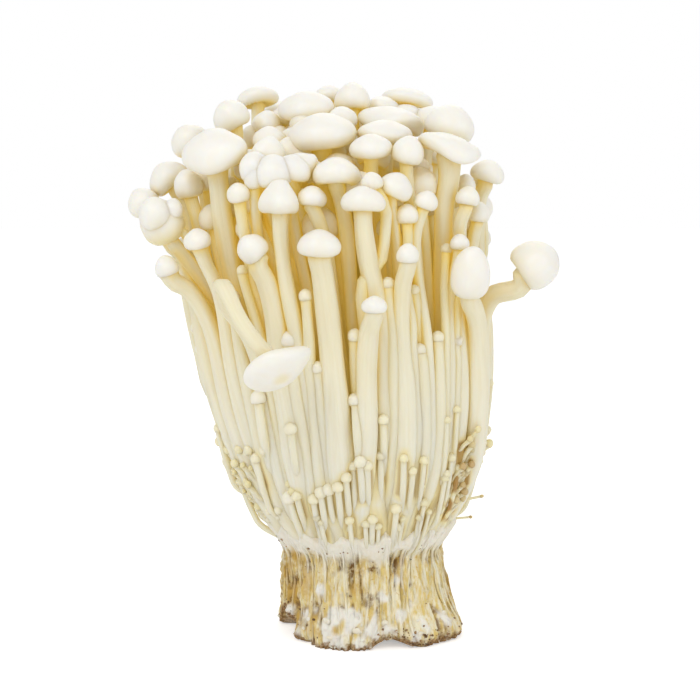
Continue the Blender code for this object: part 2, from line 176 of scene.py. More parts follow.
# How the mushrooms are spread and grouped: seeds keep one kind's chances apart from another's
GOLDEN = 0.6180339887
EVEN = 0.7549
SECTORS = {"front": 8, "side": 10, "inner": 4}
PIN_GROUPS = 4
SEEDS = {"large": 100, "slim": 1000, "young": 2000, "pins": 3000, "buds": 4000, "dried": 8000}

# Slim mushrooms round the sides: the degrees they span, from the right front round the back, and
# their heights. Those inside reach this share of the way out
SIDE_FROM = -24
SIDE_ROUND = 228
SIDE_LOWEST = 30
SIDE_RANGE = 66
INNER_REACH = 0.86

# The foot, whose cut edge is lifted, notched and chipped by so much, and rounded over its EDGE
FOOT_SIDES = 320
FOOT_RINGS = 84
LIFTED = 4.2
NOTCHED = 1.9
CHIPPED = 0.6
EDGE = 2.4

# The collar of white flesh that joins the foot to the stems. It stands a little clear of them,
# bridges hollows this many radians wide on either side, and tucks in behind them at its top
COLLAR_TOP = FOOT_TOP + 8.0
COLLAR_REACH = 3.2
COLLAR_SLACK = 4.0
COLLAR_CLEAR = 0.3
COLLAR_TUCK = 5.0
BRIDGED = 0.05
RAY_START = 60.0

# The rings that close the foot, and how deep in painted crevice shade, white, stained and soiled its two
# ends and its tufts of threads are
CLOSING_RINGS = (0.82, 0.6, 0.36, 0.14)
END_LOOKS = (0.2, 0.6, 0.5, 0.0)
CUT_LOOKS = (0.2, 0.6, 0.5, 0.5)
TUFT_LOOKS = (0.0, 0.75, 0.2, 0.0)
STRAND_RINGS = 12

# Crumbs lie above the floor by so many of their radii, and gather in heaps: each heap has a turn
# and how far it spreads in degrees, and the share of the foot's height that it reaches
CRUMB_LIFT = 1.35
CRUMB_HEAPS = ((-50, 17, 0.1), (200, 14, 0.14))

# The turns of the foot's features, in degrees from the right and through the back
CORNER_TURN = -31
SOILED_RIGHT_TURN = -52
NOTCH_TURN = -73
MATTED_TURN = -98
LIFTED_TURN = 193
SOILED_LEFT_TURN = 200
SHADED_TURN = 207

# Noises over the foot, read along a circle: the scale, where the circle lies across and in depth,
# and how fast it rises with the height. Then come how many millimetres each one moves the surface
NOISE_CIRCLE = 18.0
FOOT_NOISE = {
    "rough": (0.5, 1, 8, 0.0),
    "bend": (0.12, 0, 0, 0.06),
    "lump": (0.35, 3, 1, 0.25),
    "grit": (1.6, 9, 4, 1.1),
    "patch": (0.16, 5, 2, 0.05),
    "spots": (0.45, 2, 6, 0.3),
}
Marks = namedtuple("Marks", [*FOOT_NOISE, "valley", "crease"])
RELIEF = {"valley": -0.8, "crease": -0.3, "lump": 0.6, "grit": 0.25}

# How deep flesh is found, for the painted golden shade and glow in the gaps: by rays this long that
# start just clear of a surface and leave it straight out, level, up, down and aslant
GAP_REACH = 12.0
GAP_CLEAR = 0.1
SLANT = 0.8
RAYS = [np.zeros(3), np.array([0.0, 0.0, 1.0]), np.array([0.0, 0.0, -1.0])]
RAYS += [np.array([math.cos(turn), math.sin(turn), 0.0]) for turn in np.arange(3) * math.tau / 3]
RAYS += [np.array([math.cos(turn), 0.0, math.sin(turn)]) for turn in (SLANT, SLANT + math.pi)]

# The stage, in metres and degrees
FLOOR_SIZE = 3.0
CAMERA_PLACE = (-0.0041, -0.340, 0.105)
CAMERA_LENS = 75.4
CAMERA_DIP = 6.5
AIM = (0.0, 0.0, 0.065)
ROOM_LIGHT = 0.68
LIGHTS = (
    ("key", (-0.35, -0.55, 0.75), 0.6, 2.4, (1.0, 0.99, 0.97)),
    ("fill", (0.6, -0.5, 0.25), 0.7, 1.0, (1.0, 1.0, 1.0)),
    ("back", (0.1, 0.6, 0.6), 0.6, 1.0, (1.0, 0.98, 0.95)),
)

# The outline of a slim mushroom's cap: share of its height, share of its half width
BUTTON = ((0.0, 0.5), (0.3, 1.0), (0.66, 0.88), (0.9, 0.5), (1.0, 0.16))

Slim = namedtuple("Slim", "across height cap stem")
Pin = namedtuple("Pin", "turn height cap length tilt warmth proud", defaults=(0.0,))

# Dried pins stand together at this turn, a little proud, and two thin ones stick out beside them
DRIED_TURN = -36
DRIED_PINS = 22
DRIED_PROUD = 0.06
DRIED_STAIN = 1.5
LOOSE_PINS = (Pin(-0.32, 31.5, 0.9, 5.5, 3.0, 1.5), Pin(-0.28, 27.0, 0.8, 5.0, 5.0, 1.7))

# Other pins: their heights, the turns where most of them stand and how far they spread round
# those, how far out they start, as a share of the half width, and how tall a cap is for its width
PIN_LOWEST = 25.0
PIN_RANGE = 21.0
PIN_SIDES = ((186, 20), (-2, 24))
PIN_REACH = 0.97
PIN_TALL = 0.95

# The slim mushrooms at the front, chosen one by one, in millimetres: how far across and how high
# the cap stands, its width, and the width of the stem
FRONT_SLIM = (
    Slim(-17.5, 72, 4.0, 2.8), Slim(-10.5, 66, 3.1, 2.5), Slim(-3, 73, 3.2, 2.2),
    Slim(-3, 59, 3.3, 2.3), Slim(7, 68, 3.0, 2.0), Slim(10.5, 69.5, 3.0, 3.0),
    Slim(14, 72, 2.9, 2.2), Slim(20, 71, 3.1, 2.4), Slim(23, 70.5, 2.8, 2.2),
    Slim(5, 78.5, 2.9, 2.4), Slim(-13.5, 81.5, 3.1, 2.4), Slim(-27, 86.5, 2.6, 2.2),
    Slim(-32, 80.5, 4.0, 2.6), Slim(31, 77.5, 3.1, 2.0), Slim(17, 91, 2.6, 1.8),
    Slim(7.5, 98.5, 5.0, 2.4), Slim(-1, 105.5, 4.6, 2.6), Slim(-27, 103, 5.0, 2.4),
    Slim(30, 105.5, 3.2, 2.0), Slim(2, 84, 3.0, 2.2), Slim(9.5, 82.5, 2.4, 2.0),
    Slim(18.5, 81.5, 2.4, 1.8), Slim(20.5, 80.5, 2.4, 1.8), Slim(-24, 59, 3.6, 2.6),
    Slim(-17, 52.5, 2.9, 2.2), Slim(-25, 44.5, 2.6, 1.8), Slim(-17.5, 36, 3.3, 2.0),
    Slim(-15.9, 36.8, 2.4, 1.6), Slim(-12.2, 36.2, 2.6, 1.6), Slim(-10.6, 38.0, 2.8, 1.6),
    Slim(-8.8, 38.8, 2.9, 1.7), Slim(-6.8, 39.6, 2.6, 1.7), Slim(-5.0, 41.8, 2.5, 1.7),
    Slim(-3.4, 44.2, 2.6, 1.7), Slim(-1.8, 45.6, 2.9, 1.8), Slim(-0.4, 44.6, 2.4, 1.6),
    Slim(-11.6, 31.8, 1.9, 1.3), Slim(-10.6, 30.6, 1.6, 1.1), Slim(-4.2, 31.2, 2.1, 1.4),
    Slim(-0.6, 30.4, 2.2, 1.5), Slim(0.9, 31.6, 2.3, 1.6), Slim(2.2, 29.8, 1.8, 1.2),
    Slim(3, 54.5, 2.6, 2.0), Slim(2.6, 46.4, 2.4, 1.6), Slim(17, 53.5, 1.9, 1.5),
    Slim(7.5, 46, 2.0, 1.5), Slim(12, 45, 2.1, 1.5), Slim(9.5, 43, 2.0, 1.6),
    Slim(6.1, 34.0, 2.4, 1.5), Slim(6.4, 29.4, 2.3, 1.4), Slim(7.6, 31.2, 1.7, 1.2),
    Slim(12.4, 34.6, 2.0, 1.3), Slim(11.4, 31.0, 1.8, 1.2), Slim(13.6, 32.0, 1.6, 1.1),
    Slim(17, 40, 1.9, 1.3), Slim(18.5, 44.5, 2.2, 1.5), Slim(20.0, 42.0, 1.8, 1.2),
    Slim(25.5, 41.5, 2.1, 1.4), Slim(19.5, 55.5, 1.9, 1.4), Slim(21.5, 63, 2.2, 1.6),
    Slim(28, 66, 2.6, 2.0), Slim(27.5, 60, 2.3, 1.8), Slim(25, 51, 2.2, 1.6),
    Slim(-39, 68, 4.0, 2.8), Slim(-35, 49, 2.6, 2.2), Slim(-31, 36.5, 2.2, 1.6),
)

# Small mushrooms that crowd into the lumps and behind the crown: where the middle of the cap is,
# how wide and how tall the cap is, and how many degrees it tips to the right and to the front
Bud = namedtuple("Bud", "across depth height width tall tip_right tip_front")
BUDS = (
    Bud(-20.4, -27.6, 107.8, 8.6, 6.4, -4, 12), Bud(-16.2, -26.6, 108.4, 7.6, 5.2, 10, 8),
    Bud(-24.4, -26.4, 108.6, 7.0, 6.0, -12, 8), Bud(-46.6, -19.6, 98.8, 7.6, 6.4, -14, 12),
    Bud(-42.6, -19.4, 99.6, 4.6, 4.2, 12, 8), Bud(3.4, 9.0, 122.6, 9.0, 5.2, 4, -4),
    Bud(15.6, 6.0, 120.0, 9.2, 5.6, 10, 0), Bud(9.0, 8.0, 120.8, 9.0, 5.0, 2, 2),
    Bud(-18.5, 5.0, 120.6, 8.0, 5.0, -6, 0), Bud(-6.0, -6.0, 119.8, 7.0, 4.6, 0, 6),
)
BUD_STEM = 16.0
BUD_INWARD = 0.25
BUD_BOW = 1.5
BUD_POINTS = 6
BUD_STEM_WIDTH = 0.2


def hermite(knots, values, at):
    """A smooth line through values at knots, read at the places at."""
    knots, values, at = (np.asarray(each, float) for each in (knots, values, at))
    slopes = np.gradient(values, knots, axis=0)
    piece = np.clip(np.searchsorted(knots, at, side="right") - 1, 0, len(knots) - 2)
    span = knots[piece + 1] - knots[piece]
    share = (at - knots[piece]) / span
    if values.ndim > 1:
        span, share = span[:, None], share[:, None]
    square, cube = share**2, share**3
    return (
        (2 * cube - 3 * square + 1) * values[piece]
        + (cube - 2 * square + share) * span * slopes[piece]
        + (3 * square - 2 * cube) * values[piece + 1]
        + (cube - square) * span * slopes[piece + 1]
    )


def smoothstep(low, high, value):
    share = np.clip((value - low) / (high - low), 0, 1)
    return share * share * (3 - 2 * share)


def ease(low, high, value):
    """The smooth step of a single number."""
    return float(smoothstep(low, high, value))


def unit(vectors):
    return vectors / np.linalg.norm(vectors, axis=-1, keepdims=True)


def distances(line):
    """How far along a line each of its points lies."""
    return np.concatenate([[0], np.cumsum(np.linalg.norm(np.diff(line, axis=0), axis=1))])


def random_turns(chance, count):
    return [chance.uniform(0, math.tau) for _ in range(count)]


def towards(turn, degrees):
    """1 at a turn that is given in degrees, and 0 from a quarter turn away on."""
    return max(0.0, math.cos(turn - math.radians(degrees)))


def sideways(turn):
    """The level direction at a turn."""
    return Vector((math.cos(turn), math.sin(turn), 0))


# ---------------------------------------------------------------- the frame


def rings_of(node):
    """The rings of a CAD mushroom from its foot to its top, as centres and radii in millimetres."""
    work = bmesh.new()
    work.from_mesh(frame["nodes"][node].data)
    bmesh.ops.remove_doubles(work, verts=work.verts, dist=WELD)
    lowest = min(vert.co.z for vert in work.verts)
    ring = {vert for vert in work.verts if vert.co.z < lowest + WELD}
    seen, centres, radii = set(), [], []
    while ring:
        if len(ring) != RING_SIDES:
            raise RuntimeError(f"{node} has a ring of {len(ring)} points")
        places = np.array([vert.co for vert in ring]) / MM
        centres.append(places.mean(axis=0))
        radii.append(np.linalg.norm(places - centres[-1], axis=1).mean())
        seen |= ring
        ring = {edge.other_vert(vert) for vert in ring for edge in vert.link_edges} - seen
    work.free()
    return np.array(centres), np.array(radii)


def large_nodes():
    """The CAD nodes that are one mushroom each."""
    return sorted(node for node in frame["nodes"] if node not in (FOOT, CLUMP))


class Outline:
    """The outer surface of the bunch: a narrow neck that swells and leans as it rises."""

    def __init__(self, sizes):
        self.neck = sizes.neck / MM
        self.growth = sizes.swell / MM
        self.swell_height = sizes.swell_height / MM
        self.roundness = sizes.roundness
        self.lean_at_foot = sizes.lean_at_foot / MM
        self.lean_at_crown = sizes.lean_at_crown / MM
        self.lean_power = sizes.lean_power
        self.crown_base = sizes.crown_base / MM

    def half_width(self, height):
        rise = np.maximum(0.0, height - FOOT_TOP)
        return self.neck + self.growth * (1 - np.exp(-rise / self.swell_height))

    def lean(self, height):
        """How far across the middle of the bunch has moved at a height."""
        share = np.clip((height - FOOT_TOP) / (self.crown_base - FOOT_TOP), 0, 1)
        return self.lean_at_foot + self.lean_at_crown * share**self.lean_power

    def place(self, share, height):
        """The place across and in depth that a pair of shares of the half width means."""
        half = self.half_width(height)
        return np.stack([
            self.lean(height) + share[0] * half, share[1] * half * self.roundness
        ], axis=-1)

    def share(self, across, height):
        """How far across a place is, as a share of the half width."""
        return (across - self.lean(height)) / self.half_width(height)


# ---------------------------------------------------------------- standing together


class Stand:
    """Where each stem stands at each level, pushed apart until they only press on each other."""

    def __init__(self, outline):
        self.outline = outline
        self.levels = np.arange(FOOT_TOP, CROWN_TOP + LEVEL_STEP, LEVEL_STEP)
        self.middle, self.radius, self.firm = [], [], []

    def add_fixed(self, centres, radii):
        """A mushroom of the frame, up to where its stem turns down or its cap ends."""
        falls = np.flatnonzero(np.diff(centres[:, 2]) <= 0)
        last = falls[0] if len(falls) else len(centres) - 1
        height = centres[: last + 1, 2]
        line = [np.interp(self.levels, height, centres[: last + 1, axis]) for axis in (0, 1)]
        radius = np.interp(self.levels, height, radii[: last + 1])
        radius[self.levels > height[-1]] = -1
        self.middle.append(np.stack(line, axis=1))
        self.radius.append(radius)
        self.firm.append(np.ones(len(self.levels)))

    def add(self, slim, share):
        """A slim mushroom whose cap is wanted at a pair of shares of the half width."""
        reach = np.hypot(*share)
        at_foot = np.array(share) * min(1.0, SEAT_REACH / reach)
        rise = np.clip((self.levels - FOOT_TOP) / (slim.height - FOOT_TOP), 0, 1)
        turn = smoothstep(0, 1, rise)[:, None]
        path = at_foot * (1 - turn) + np.array(share) * turn
        self.middle.append(self.outline.place(path.T, self.levels))
        radius = slim_radius(slim, self.levels)
        firm = np.full(len(self.levels), SLIM_FIRMNESS)
        half_cap = slim.cap / 2
        cap = np.abs(self.levels - slim.height) < half_cap
        radius[cap] = half_cap
        firm[cap] = SLIM_CAP_FIRMNESS
        radius[self.levels > slim.height + half_cap] = -1
        self.radius.append(radius)
        self.firm.append(firm)
        return len(self.middle) - 1

    def settle(self, rounds):
        """Moves the stems apart in many small steps; a radius of -1 marks a level above a cap."""
        place, radius, firm = (np.array(each) for each in (self.middle, self.radius, self.firm))
        rows, count = radius.shape
        wanted = place.copy()
        half = self.outline.half_width(self.levels)
        depth = half * self.outline.roundness
        lean = self.outline.lean(self.levels)
        limit = 1 - np.maximum(radius, 0) * INSIDE / half
        press = np.tile(1 - FUSING * (1 - smoothstep(FOOT_TOP, FUSED_BELOW, self.levels)), rows)
        moving = (firm < 1).any(axis=1)
        give = 1 - firm
        home = HOMING * np.where(firm < 1, firm, 0)[..., None] ** 2
        known = ((radius[:, 2:] > 0) & (radius[:, 1:-1] > 0))[..., None]
        supple = STRAIGHTENING * give[:, 1:-1, None] * known
        for number in range(rounds):
            if number % PAIRS_EVERY == 0:
                one, other = self.neighbours(place, radius)
                room = (radius.ravel()[one] + radius.ravel()[other]) * press[one]
                yields = give.ravel()[one], give.ravel()[other]
                both = yields[0] + yields[1] + WELD
            flat = place.reshape(-1, 2)
            gap = flat[one] - flat[other]
            distance = np.maximum(np.hypot(*gap.T), WELD)
            push = gap * (PUSH * np.maximum(room - distance, 0) / distance / both)[:, None]
            for axis in (0, 1):
                moved = np.bincount(one, push[:, axis] * yields[0], rows * count)
                moved -= np.bincount(other, push[:, axis] * yields[1], rows * count)
                place[..., axis] += moved.reshape(rows, count)
            drift = place - wanted
            place[:, 1:-1] += supple * ((drift[:, 2:] + drift[:, :-2]) / 2 - drift[:, 1:-1])
            place += home * (wanted - place)
            across, deep = (place[..., 0] - lean) / half, place[..., 1] / depth
            over = np.minimum(1, limit / np.maximum(np.hypot(across, deep), WELD))
            over[~moving] = 1
            place = np.stack([lean + across * over * half, deep * over * depth], axis=2)
        self.middle, self.radius = place, radius
        return self

    def neighbours(self, place, radius):
        """Pairs of stems that are close enough at a level to touch before the next look."""
        ones, others = [], []
        for level in range(len(self.levels)):
            here = np.flatnonzero(radius[:, level] > 0)
            apart = np.linalg.norm(place[here, None, level] - place[None, here, level], axis=2)
            near = apart < radius[here, None, level] + radius[None, here, level] + PAIR_MARGIN
            one, other = np.nonzero(np.triu(near, 1))
            ones.append(here[one] * len(self.levels) + level)
            others.append(here[other] * len(self.levels) + level)
        return np.concatenate(ones), np.concatenate(others)

    def line(self, row, top):
        """The settled centreline of a slim mushroom's stem, from inside the foot up to its cap."""
        held = self.levels < top - LEVEL_CLEAR
        line = np.column_stack([self.middle[row][held], self.levels[held]])
        across = np.interp(top, self.levels, self.middle[row][:, 0])
        depth = np.interp(top, self.levels, self.middle[row][:, 1])
        return np.vstack([line, (across, depth, top)])


def slim_radius(slim, heights):
    """Half a slim stem's width, which spreads a little towards the foot."""
    straight_from = FOOT_TOP + SPREAD_UP_TO * (slim.height - FOOT_TOP)
    return slim.stem / 2 * (1 + SPREAD * (1 - smoothstep(FOOT_TOP, straight_from, heights)))


# ---------------------------------------------------------------- shaping mushrooms


class Blank:
    """A closed tube of unit radius, ring n at height n, from which one mushroom is shaped."""

    made = {}

    def __init__(self, sides, rings):
        work = bmesh.new()
        outline = [(0, 0, 0), *((1, 0, ring) for ring in range(rings)), (0, 0, rings - 1)]
        verts = [work.verts.new(place) for place in outline]
        edges = [work.edges.new(pair) for pair in zip(verts, verts[1:])]
        bmesh.ops.spin(
            work, geom=verts + edges, cent=(0, 0, 0), axis=(0, 0, 1), angle=math.tau,
            steps=sides, use_merge=True,
        )
        bmesh.ops.remove_doubles(work, verts=work.verts, dist=BLANK_WELD)
        bmesh.ops.recalc_face_normals(work, faces=work.faces)
        self.mesh = bpy.data.meshes.new("blank")
        work.to_mesh(self.mesh)
        work.free()
        places = np.empty(len(self.mesh.vertices) * 3)
        self.mesh.vertices.foreach_get("co", places)
        places = places.reshape(-1, 3)
        self.ring = np.rint(places[:, 2]).astype(int)
        self.out = np.rint(np.hypot(places[:, 0], places[:, 1]))
        self.turn = np.arctan2(places[:, 1], places[:, 0])
        self.side = np.rint(self.turn / (math.tau / sides)).astype(int)
        self.mesh.attributes.new("grain", "FLOAT_VECTOR", "POINT")
        self.mesh.attributes.new("parts", "FLOAT_COLOR", "POINT")

    @classmethod
    def of(cls, sides, rings):
        if (sides, rings) not in cls.made:
            cls.made[sides, rings] = cls(sides, rings)
        return cls.made[sides, rings]


# A form says how finely a mushroom is made: its sides, and the rings of its stem, under its cap,
# round its lip and over its dome. Then come the depth of its gills, how uneven its cap is, how much
# wider its stem is where it has fused, how far its cap is stretched, and how deep in the foot it starts
Form = namedtuple(
    "Form", "sides stem_rings under_rings lip_rings dome_rings gill_depth lobes fused stretch sunk",
    defaults=(FUSED_WIDTH, 0.0, SUNK),
)
LARGE = Form(40, 46, 6, 7, 14, 0.2, 0.035)
UNEVEN = LARGE._replace(lobes=0.075)
BELL = LARGE._replace(lobes=0.1)
KNOBBLY = LARGE._replace(lobes=0.065)
BENT = LARGE._replace(lobes=0.05, stretch=0.17)
BUD = LARGE._replace(lobes=0.05, fused=0.0, gill_depth=0.0)
SLENDER = Form(16, 24, 3, 4, 7, 0.0, 0.045)
YOUNG = SLENDER._replace(fused=0.0)
PIN = Form(8, 6, 1, 2, 4, 0.0, 0.06, 0.0, 0.0, 1.5)
STRETCHED_ALONG = np.array([0.88, 0.0, 0.47])

# A tint says how warm the flesh is all over, in a spot on top, and low on the cap, where the warmth is
# painted warm shade
Tint = namedtuple("Tint", "warmth spot below", defaults=(0.0, 0.0, 0.18))

# The large mushrooms that differ from the rest: their forms, their tints, how much stouter a stem
# is, and which caps are bells, whose last rings are fuller by so much
FORMS = {
    "bent_over": BENT, "front_conical": BELL,
    "left_bulb": KNOBBLY, "lumpy_left": KNOBBLY, "lumpy_middle": KNOBBLY, "lumpy_right": UNEVEN,
    "big_left": UNEVEN, "crown_wide_right": UNEVEN, "crown_brim": UNEVEN,
}
TINTS = {"bent_over": Tint(0.0, 0.6, 0.2), "left_bulb": Tint(0.25, 0.0, 0.9)}
STOUTER = {"right_leaning": 1.25}
BELLS = ("front_conical", "lumpy_right")
FULLER = (1.06, 1.3, 2.0)

# Waves round a stem, as size, count, and millimetres of height in which they turn by a radian, and
# round a cap, as size and count: first how far they push its rim out, then how far they lift it
STEM_LOBES = ((0.06, 2, 16), (0.035, 3, -11), (0.016, 7, 23))
CAP_LOBES = ((1.0, 2), (0.7, 3), (0.35, 5))
CAP_LIFTS = ((1.5, 2), (1.0, 3))


def carried_frames(line):
    """The direction of a line at each point, and two directions across it that don't twist."""
    up = unit(np.gradient(line, axis=0))
    side = np.empty_like(up)
    side[0] = unit(np.cross([0.0, 1.0, 0.0], up[0]))
    for number in range(1, len(up)):
        across = side[number - 1] - up[number] * np.dot(side[number - 1], up[number])
        side[number] = unit(across)
    return side, np.cross(up, side), up


def cap_profile(radii, heights, neck, form):
    """The cap's outline from the neck to the top: radius and height, and how much each is cap or gill.

    It runs from the neck over the gills to the lip, round the brim, and over the rings to the pole.
    """
    rim, tall = radii[1], heights[-1]
    lip = rim - min(0.34 * rim, 0.42 * tall)
    brim = max(heights[1] + 0.1 * tall, 0.34 * tall)
    rounded = rim * math.sqrt(1 - ((heights[2] - brim) / (tall - brim)) ** 2)
    shoulder = 0.35 * radii[2] + 0.65 * rounded
    knots = np.array([
        (neck, 0.12 * tall), (0.5 * (neck + lip), 0.10 * tall), (lip, -0.02 * tall),
        (0.26 * lip + 0.74 * rim, 0.27 * brim), (rim, brim), (shoulder, heights[2]),
        *zip(radii[3:], heights[3:]), (-radii[-1], heights[-1]),
    ])
    along = distances(knots)
    pole = (along[-1] + along[-2]) / 2
    at = np.concatenate([
        np.linspace(along[0], along[2], form.under_rings, endpoint=False),
        np.linspace(along[2], along[4], form.lip_rings, endpoint=False),
        along[4] + (pole - along[4]) * np.linspace(0, 0.97, form.dome_rings),
    ])
    radius, height = hermite(along, knots, at).T
    cap = smoothstep(along[2], along[3], at)
    gill = np.clip(np.minimum(at - along[0], along[2] - at) / (along[1] * 0.5), 0, 1)
    return np.maximum(radius, 0.02), height, cap, gill, at


def shape_stem(line, radii, neck, rim, form, chance):
    """The rings of a stem: how far along each is, its middle and its radius, waving a little."""
    radii = radii * (1 + form.fused * (1 - smoothstep(FUSED_FROM, FUSED_TO, line[:, 2])))
    knots = distances(line)
    length = knots[-1]
    share = np.linspace(0, 1, form.stem_rings)
    at = length * (0.75 * share + 0.25 * (1 - (1 - share) ** 3))
    middle = hermite(knots, line, at)
    waves = np.sin(at[:, None] / STEM_WAVES + random_turns(chance, 4))
    free = np.sin(at / length * math.pi) * min(1, length / STEADY_LENGTH)
    middle[:, :2] += WANDER * free[:, None] * waves[:, :2]
    radius = np.interp(at, knots, radii) * (1 + waves[:, 2:] @ STEM_WAVE_WIDTHS)
    return at, middle, radius + neck * 0.12 * smoothstep(length - 0.6 * rim, length, at)


def shape_mushroom(centres, radii, form, seed, tint=Tint()):
    """One mushroom along a line of rings, the last five of which are its cap.

    Gives the blank, and for each of its points the place, the grain and the four parts.
    """
    chance = random.Random(seed)
    gills = centres[-CAP_RINGS]
    axis = unit(centres[-1] - gills)
    cap_radii = radii[-CAP_RINGS:]
    cap_heights = (centres[-CAP_RINGS:] - gills) @ axis
    rim, tall = cap_radii[1], cap_heights[-1]
    neck = min(radii[-CAP_RINGS - 1] * 0.96, rim * 0.82)

    tuck = 1 - ROOT_TUCK * form.sunk
    foot = centres[0] * [tuck, tuck, 1] - [0, 0, form.sunk]
    stem_line = np.vstack([foot, centres[:-CAP_RINGS], gills + axis * 0.06 * tall])
    stem_radii = np.concatenate([radii[:1], radii[:-CAP_RINGS], [neck]])
    at, line, thick = shape_stem(stem_line, stem_radii, neck, rim, form, chance)
    side, front, up = carried_frames(line)

    cap_radius, cap_height, cap_part, gill_part, cap_at = cap_profile(cap_radii, cap_heights, neck, form)
    cap_side = unit(side[-1] - axis * np.dot(side[-1], axis))
    rings = len(cap_height)
    line = np.vstack([line, gills + cap_height[:, None] * axis])
    side = np.vstack([side, np.tile(cap_side, (rings, 1))])
    front = np.vstack([front, np.tile(np.cross(axis, cap_side), (rings, 1))])
    up = np.vstack([up, np.tile(axis, (rings, 1))])

    blank = Blank.of(form.sides, len(line))
    ring, turn = blank.ring, blank.turn
    stem = np.zeros(len(at))
    radius = np.concatenate([thick, cap_radius])[ring]
    along = np.concatenate([at, at[-1] + cap_at])[ring]
    cap = np.concatenate([stem, cap_part])[ring]
    gill = np.concatenate([stem, gill_part])[ring]
    level = np.concatenate([stem, cap_height / tall])[ring]
    on_cap = np.concatenate([stem, np.clip((cap_radius - neck) / (rim - neck), 0, 1)])[ring]

    phase = iter(random_turns(chance, 8))
    stem_lobes = (1 - np.minimum(1, on_cap * 4)) * sum(
        size * np.sin(count * turn + next(phase) + along / pitch) for size, count, pitch in STEM_LOBES
    )
    cap_lobes = form.lobes * on_cap * sum(
        size * np.sin(count * turn + next(phase)) for size, count in CAP_LOBES
    )
    along_cap = math.atan2(STRETCHED_ALONG @ front[-1], STRETCHED_ALONG @ side[-1])
    cap_lobes += form.stretch * on_cap * np.cos(2 * (turn - along_cap))
    lift = form.lobes * rim * on_cap**2 * sum(
        size * np.sin(count * turn + next(phase)) for size, count in CAP_LIFTS
    )
    lift += form.gill_depth * gill * np.where(blank.side % 2, 1.0, -1.0)
    out = radius * (1 + stem_lobes + cap_lobes) * blank.out
    facing = side[ring] * np.cos(turn)[:, None] + front[ring] * np.sin(turn)[:, None]
    places = line[ring] + facing * out[:, None] + up[ring] * lift[:, None]

    moved = [chance.uniform(0, 60) for _ in range(3)]
    grain = np.stack([np.cos(turn) * out, np.sin(turn) * out, along], axis=1) + moved
    warm = tint.warmth * (0.35 + 0.65 * cap)
    warm += tint.spot * cap * (1 - smoothstep(0.1, 0.4, radius / rim))
    # Painted warm shade over the lower half of the cap
    warm += tint.below * cap * (1 - smoothstep(0.0, 0.5, level))
    deep_later = np.zeros_like(warm)
    return blank, places, grain, np.stack([deep_later, cap, gill, warm], axis=1)


class Growth:
    """Mushrooms gathered in one mesh, each a copy of a blank that is moved into shape."""

    def __init__(self):
        self.work = bmesh.new()

    def add(self, blank, places, grain, parts):
        mesh = blank.mesh.copy()
        mesh.vertices.foreach_set("co", (places * MM).ravel())
        mesh.attributes["grain"].data.foreach_set("vector", grain.ravel())
        mesh.attributes["parts"].data.foreach_set("color", parts.ravel())
        self.work.from_mesh(mesh)
        bpy.data.meshes.remove(mesh)

    def finish(self, name, material, replaced=()):
        mesh = bpy.data.meshes.new(name)
        self.work.to_mesh(mesh)
        self.work.free()
        return add_piece(name, mesh, material, replaced)


def add_piece(name, mesh, material, replaced=()):
    """The finished piece of a mesh: it rides on the body and takes its finish from a slot."""
    mesh.shade_smooth()
    mesh.materials.append(material)
    piece = bpy.data.objects.new(name, mesh)
    bpy.context.scene.collection.objects.link(piece)
    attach(piece, BODY)
    for node in replaced:
        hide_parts(node)
    return piece


def cap_stations(under, axis, width, tall):
    """The rings of a slim mushroom's cap, from the gills at under to its top."""
    share = np.array(BUTTON)
    return under + share[:, :1] * tall * axis, share[:, 1] * width / 2


def shape_slim(slim, line, form, seed):
    """One slim mushroom along its line; a young one is thin all the way down."""
    chance = random.Random(seed)
    tilt = [chance.uniform(-CAP_TILT, CAP_TILT) for _ in range(2)]
    end = unit(line[-1] - line[-3]) if len(line) > 2 else np.array([0.0, 0.0, 1.0])
    axis = unit(end + [*tilt, UPRIGHT])
    caps, cap_radii = cap_stations(line[-1], axis, slim.cap, slim.cap * CAP_TALL)
    radii = slim_radius(slim, line[:, 2]) if form.fused else np.full(len(line), slim.stem * YOUNG_STEM)
    warmth = float(np.clip((YOUNG_CAP - slim.cap) / YOUNG_CAP * 1.6, 0.1, 0.85))
    line, radii = np.vstack([line, caps]), np.concatenate([radii, cap_radii])
    return shape_mushroom(line, radii, form, seed, Tint(warmth))


# ---------------------------------------------------------------- materials


class Wire:
    """A shader socket that Python's operators work on: each adds the Math node that does the sum."""

    def __init__(self, paint, socket):
        self.paint = paint
        self.socket = socket

    def maths(self, operation, *values):
        settings = {"operation": operation}
        return self.paint.node("ShaderNodeMath", settings, dict(enumerate(values)))

    def __add__(self, other):
        return self.maths("ADD", self, other)

    def __sub__(self, other):
        return self.maths("SUBTRACT", self, other)

    def __rsub__(self, other):
        return self.maths("SUBTRACT", other, self)

    def __mul__(self, other):
        return self.maths("MULTIPLY", self, other)

    def smooth(self, low, high):
        """0 below low and 1 above high, eased between them."""
        settings = {"interpolation_type": "SMOOTHSTEP"}
        return self.paint.node("ShaderNodeMapRange", settings, {0: self, 1: low, 2: high})

    __radd__ = __add__
    __rmul__ = __mul__


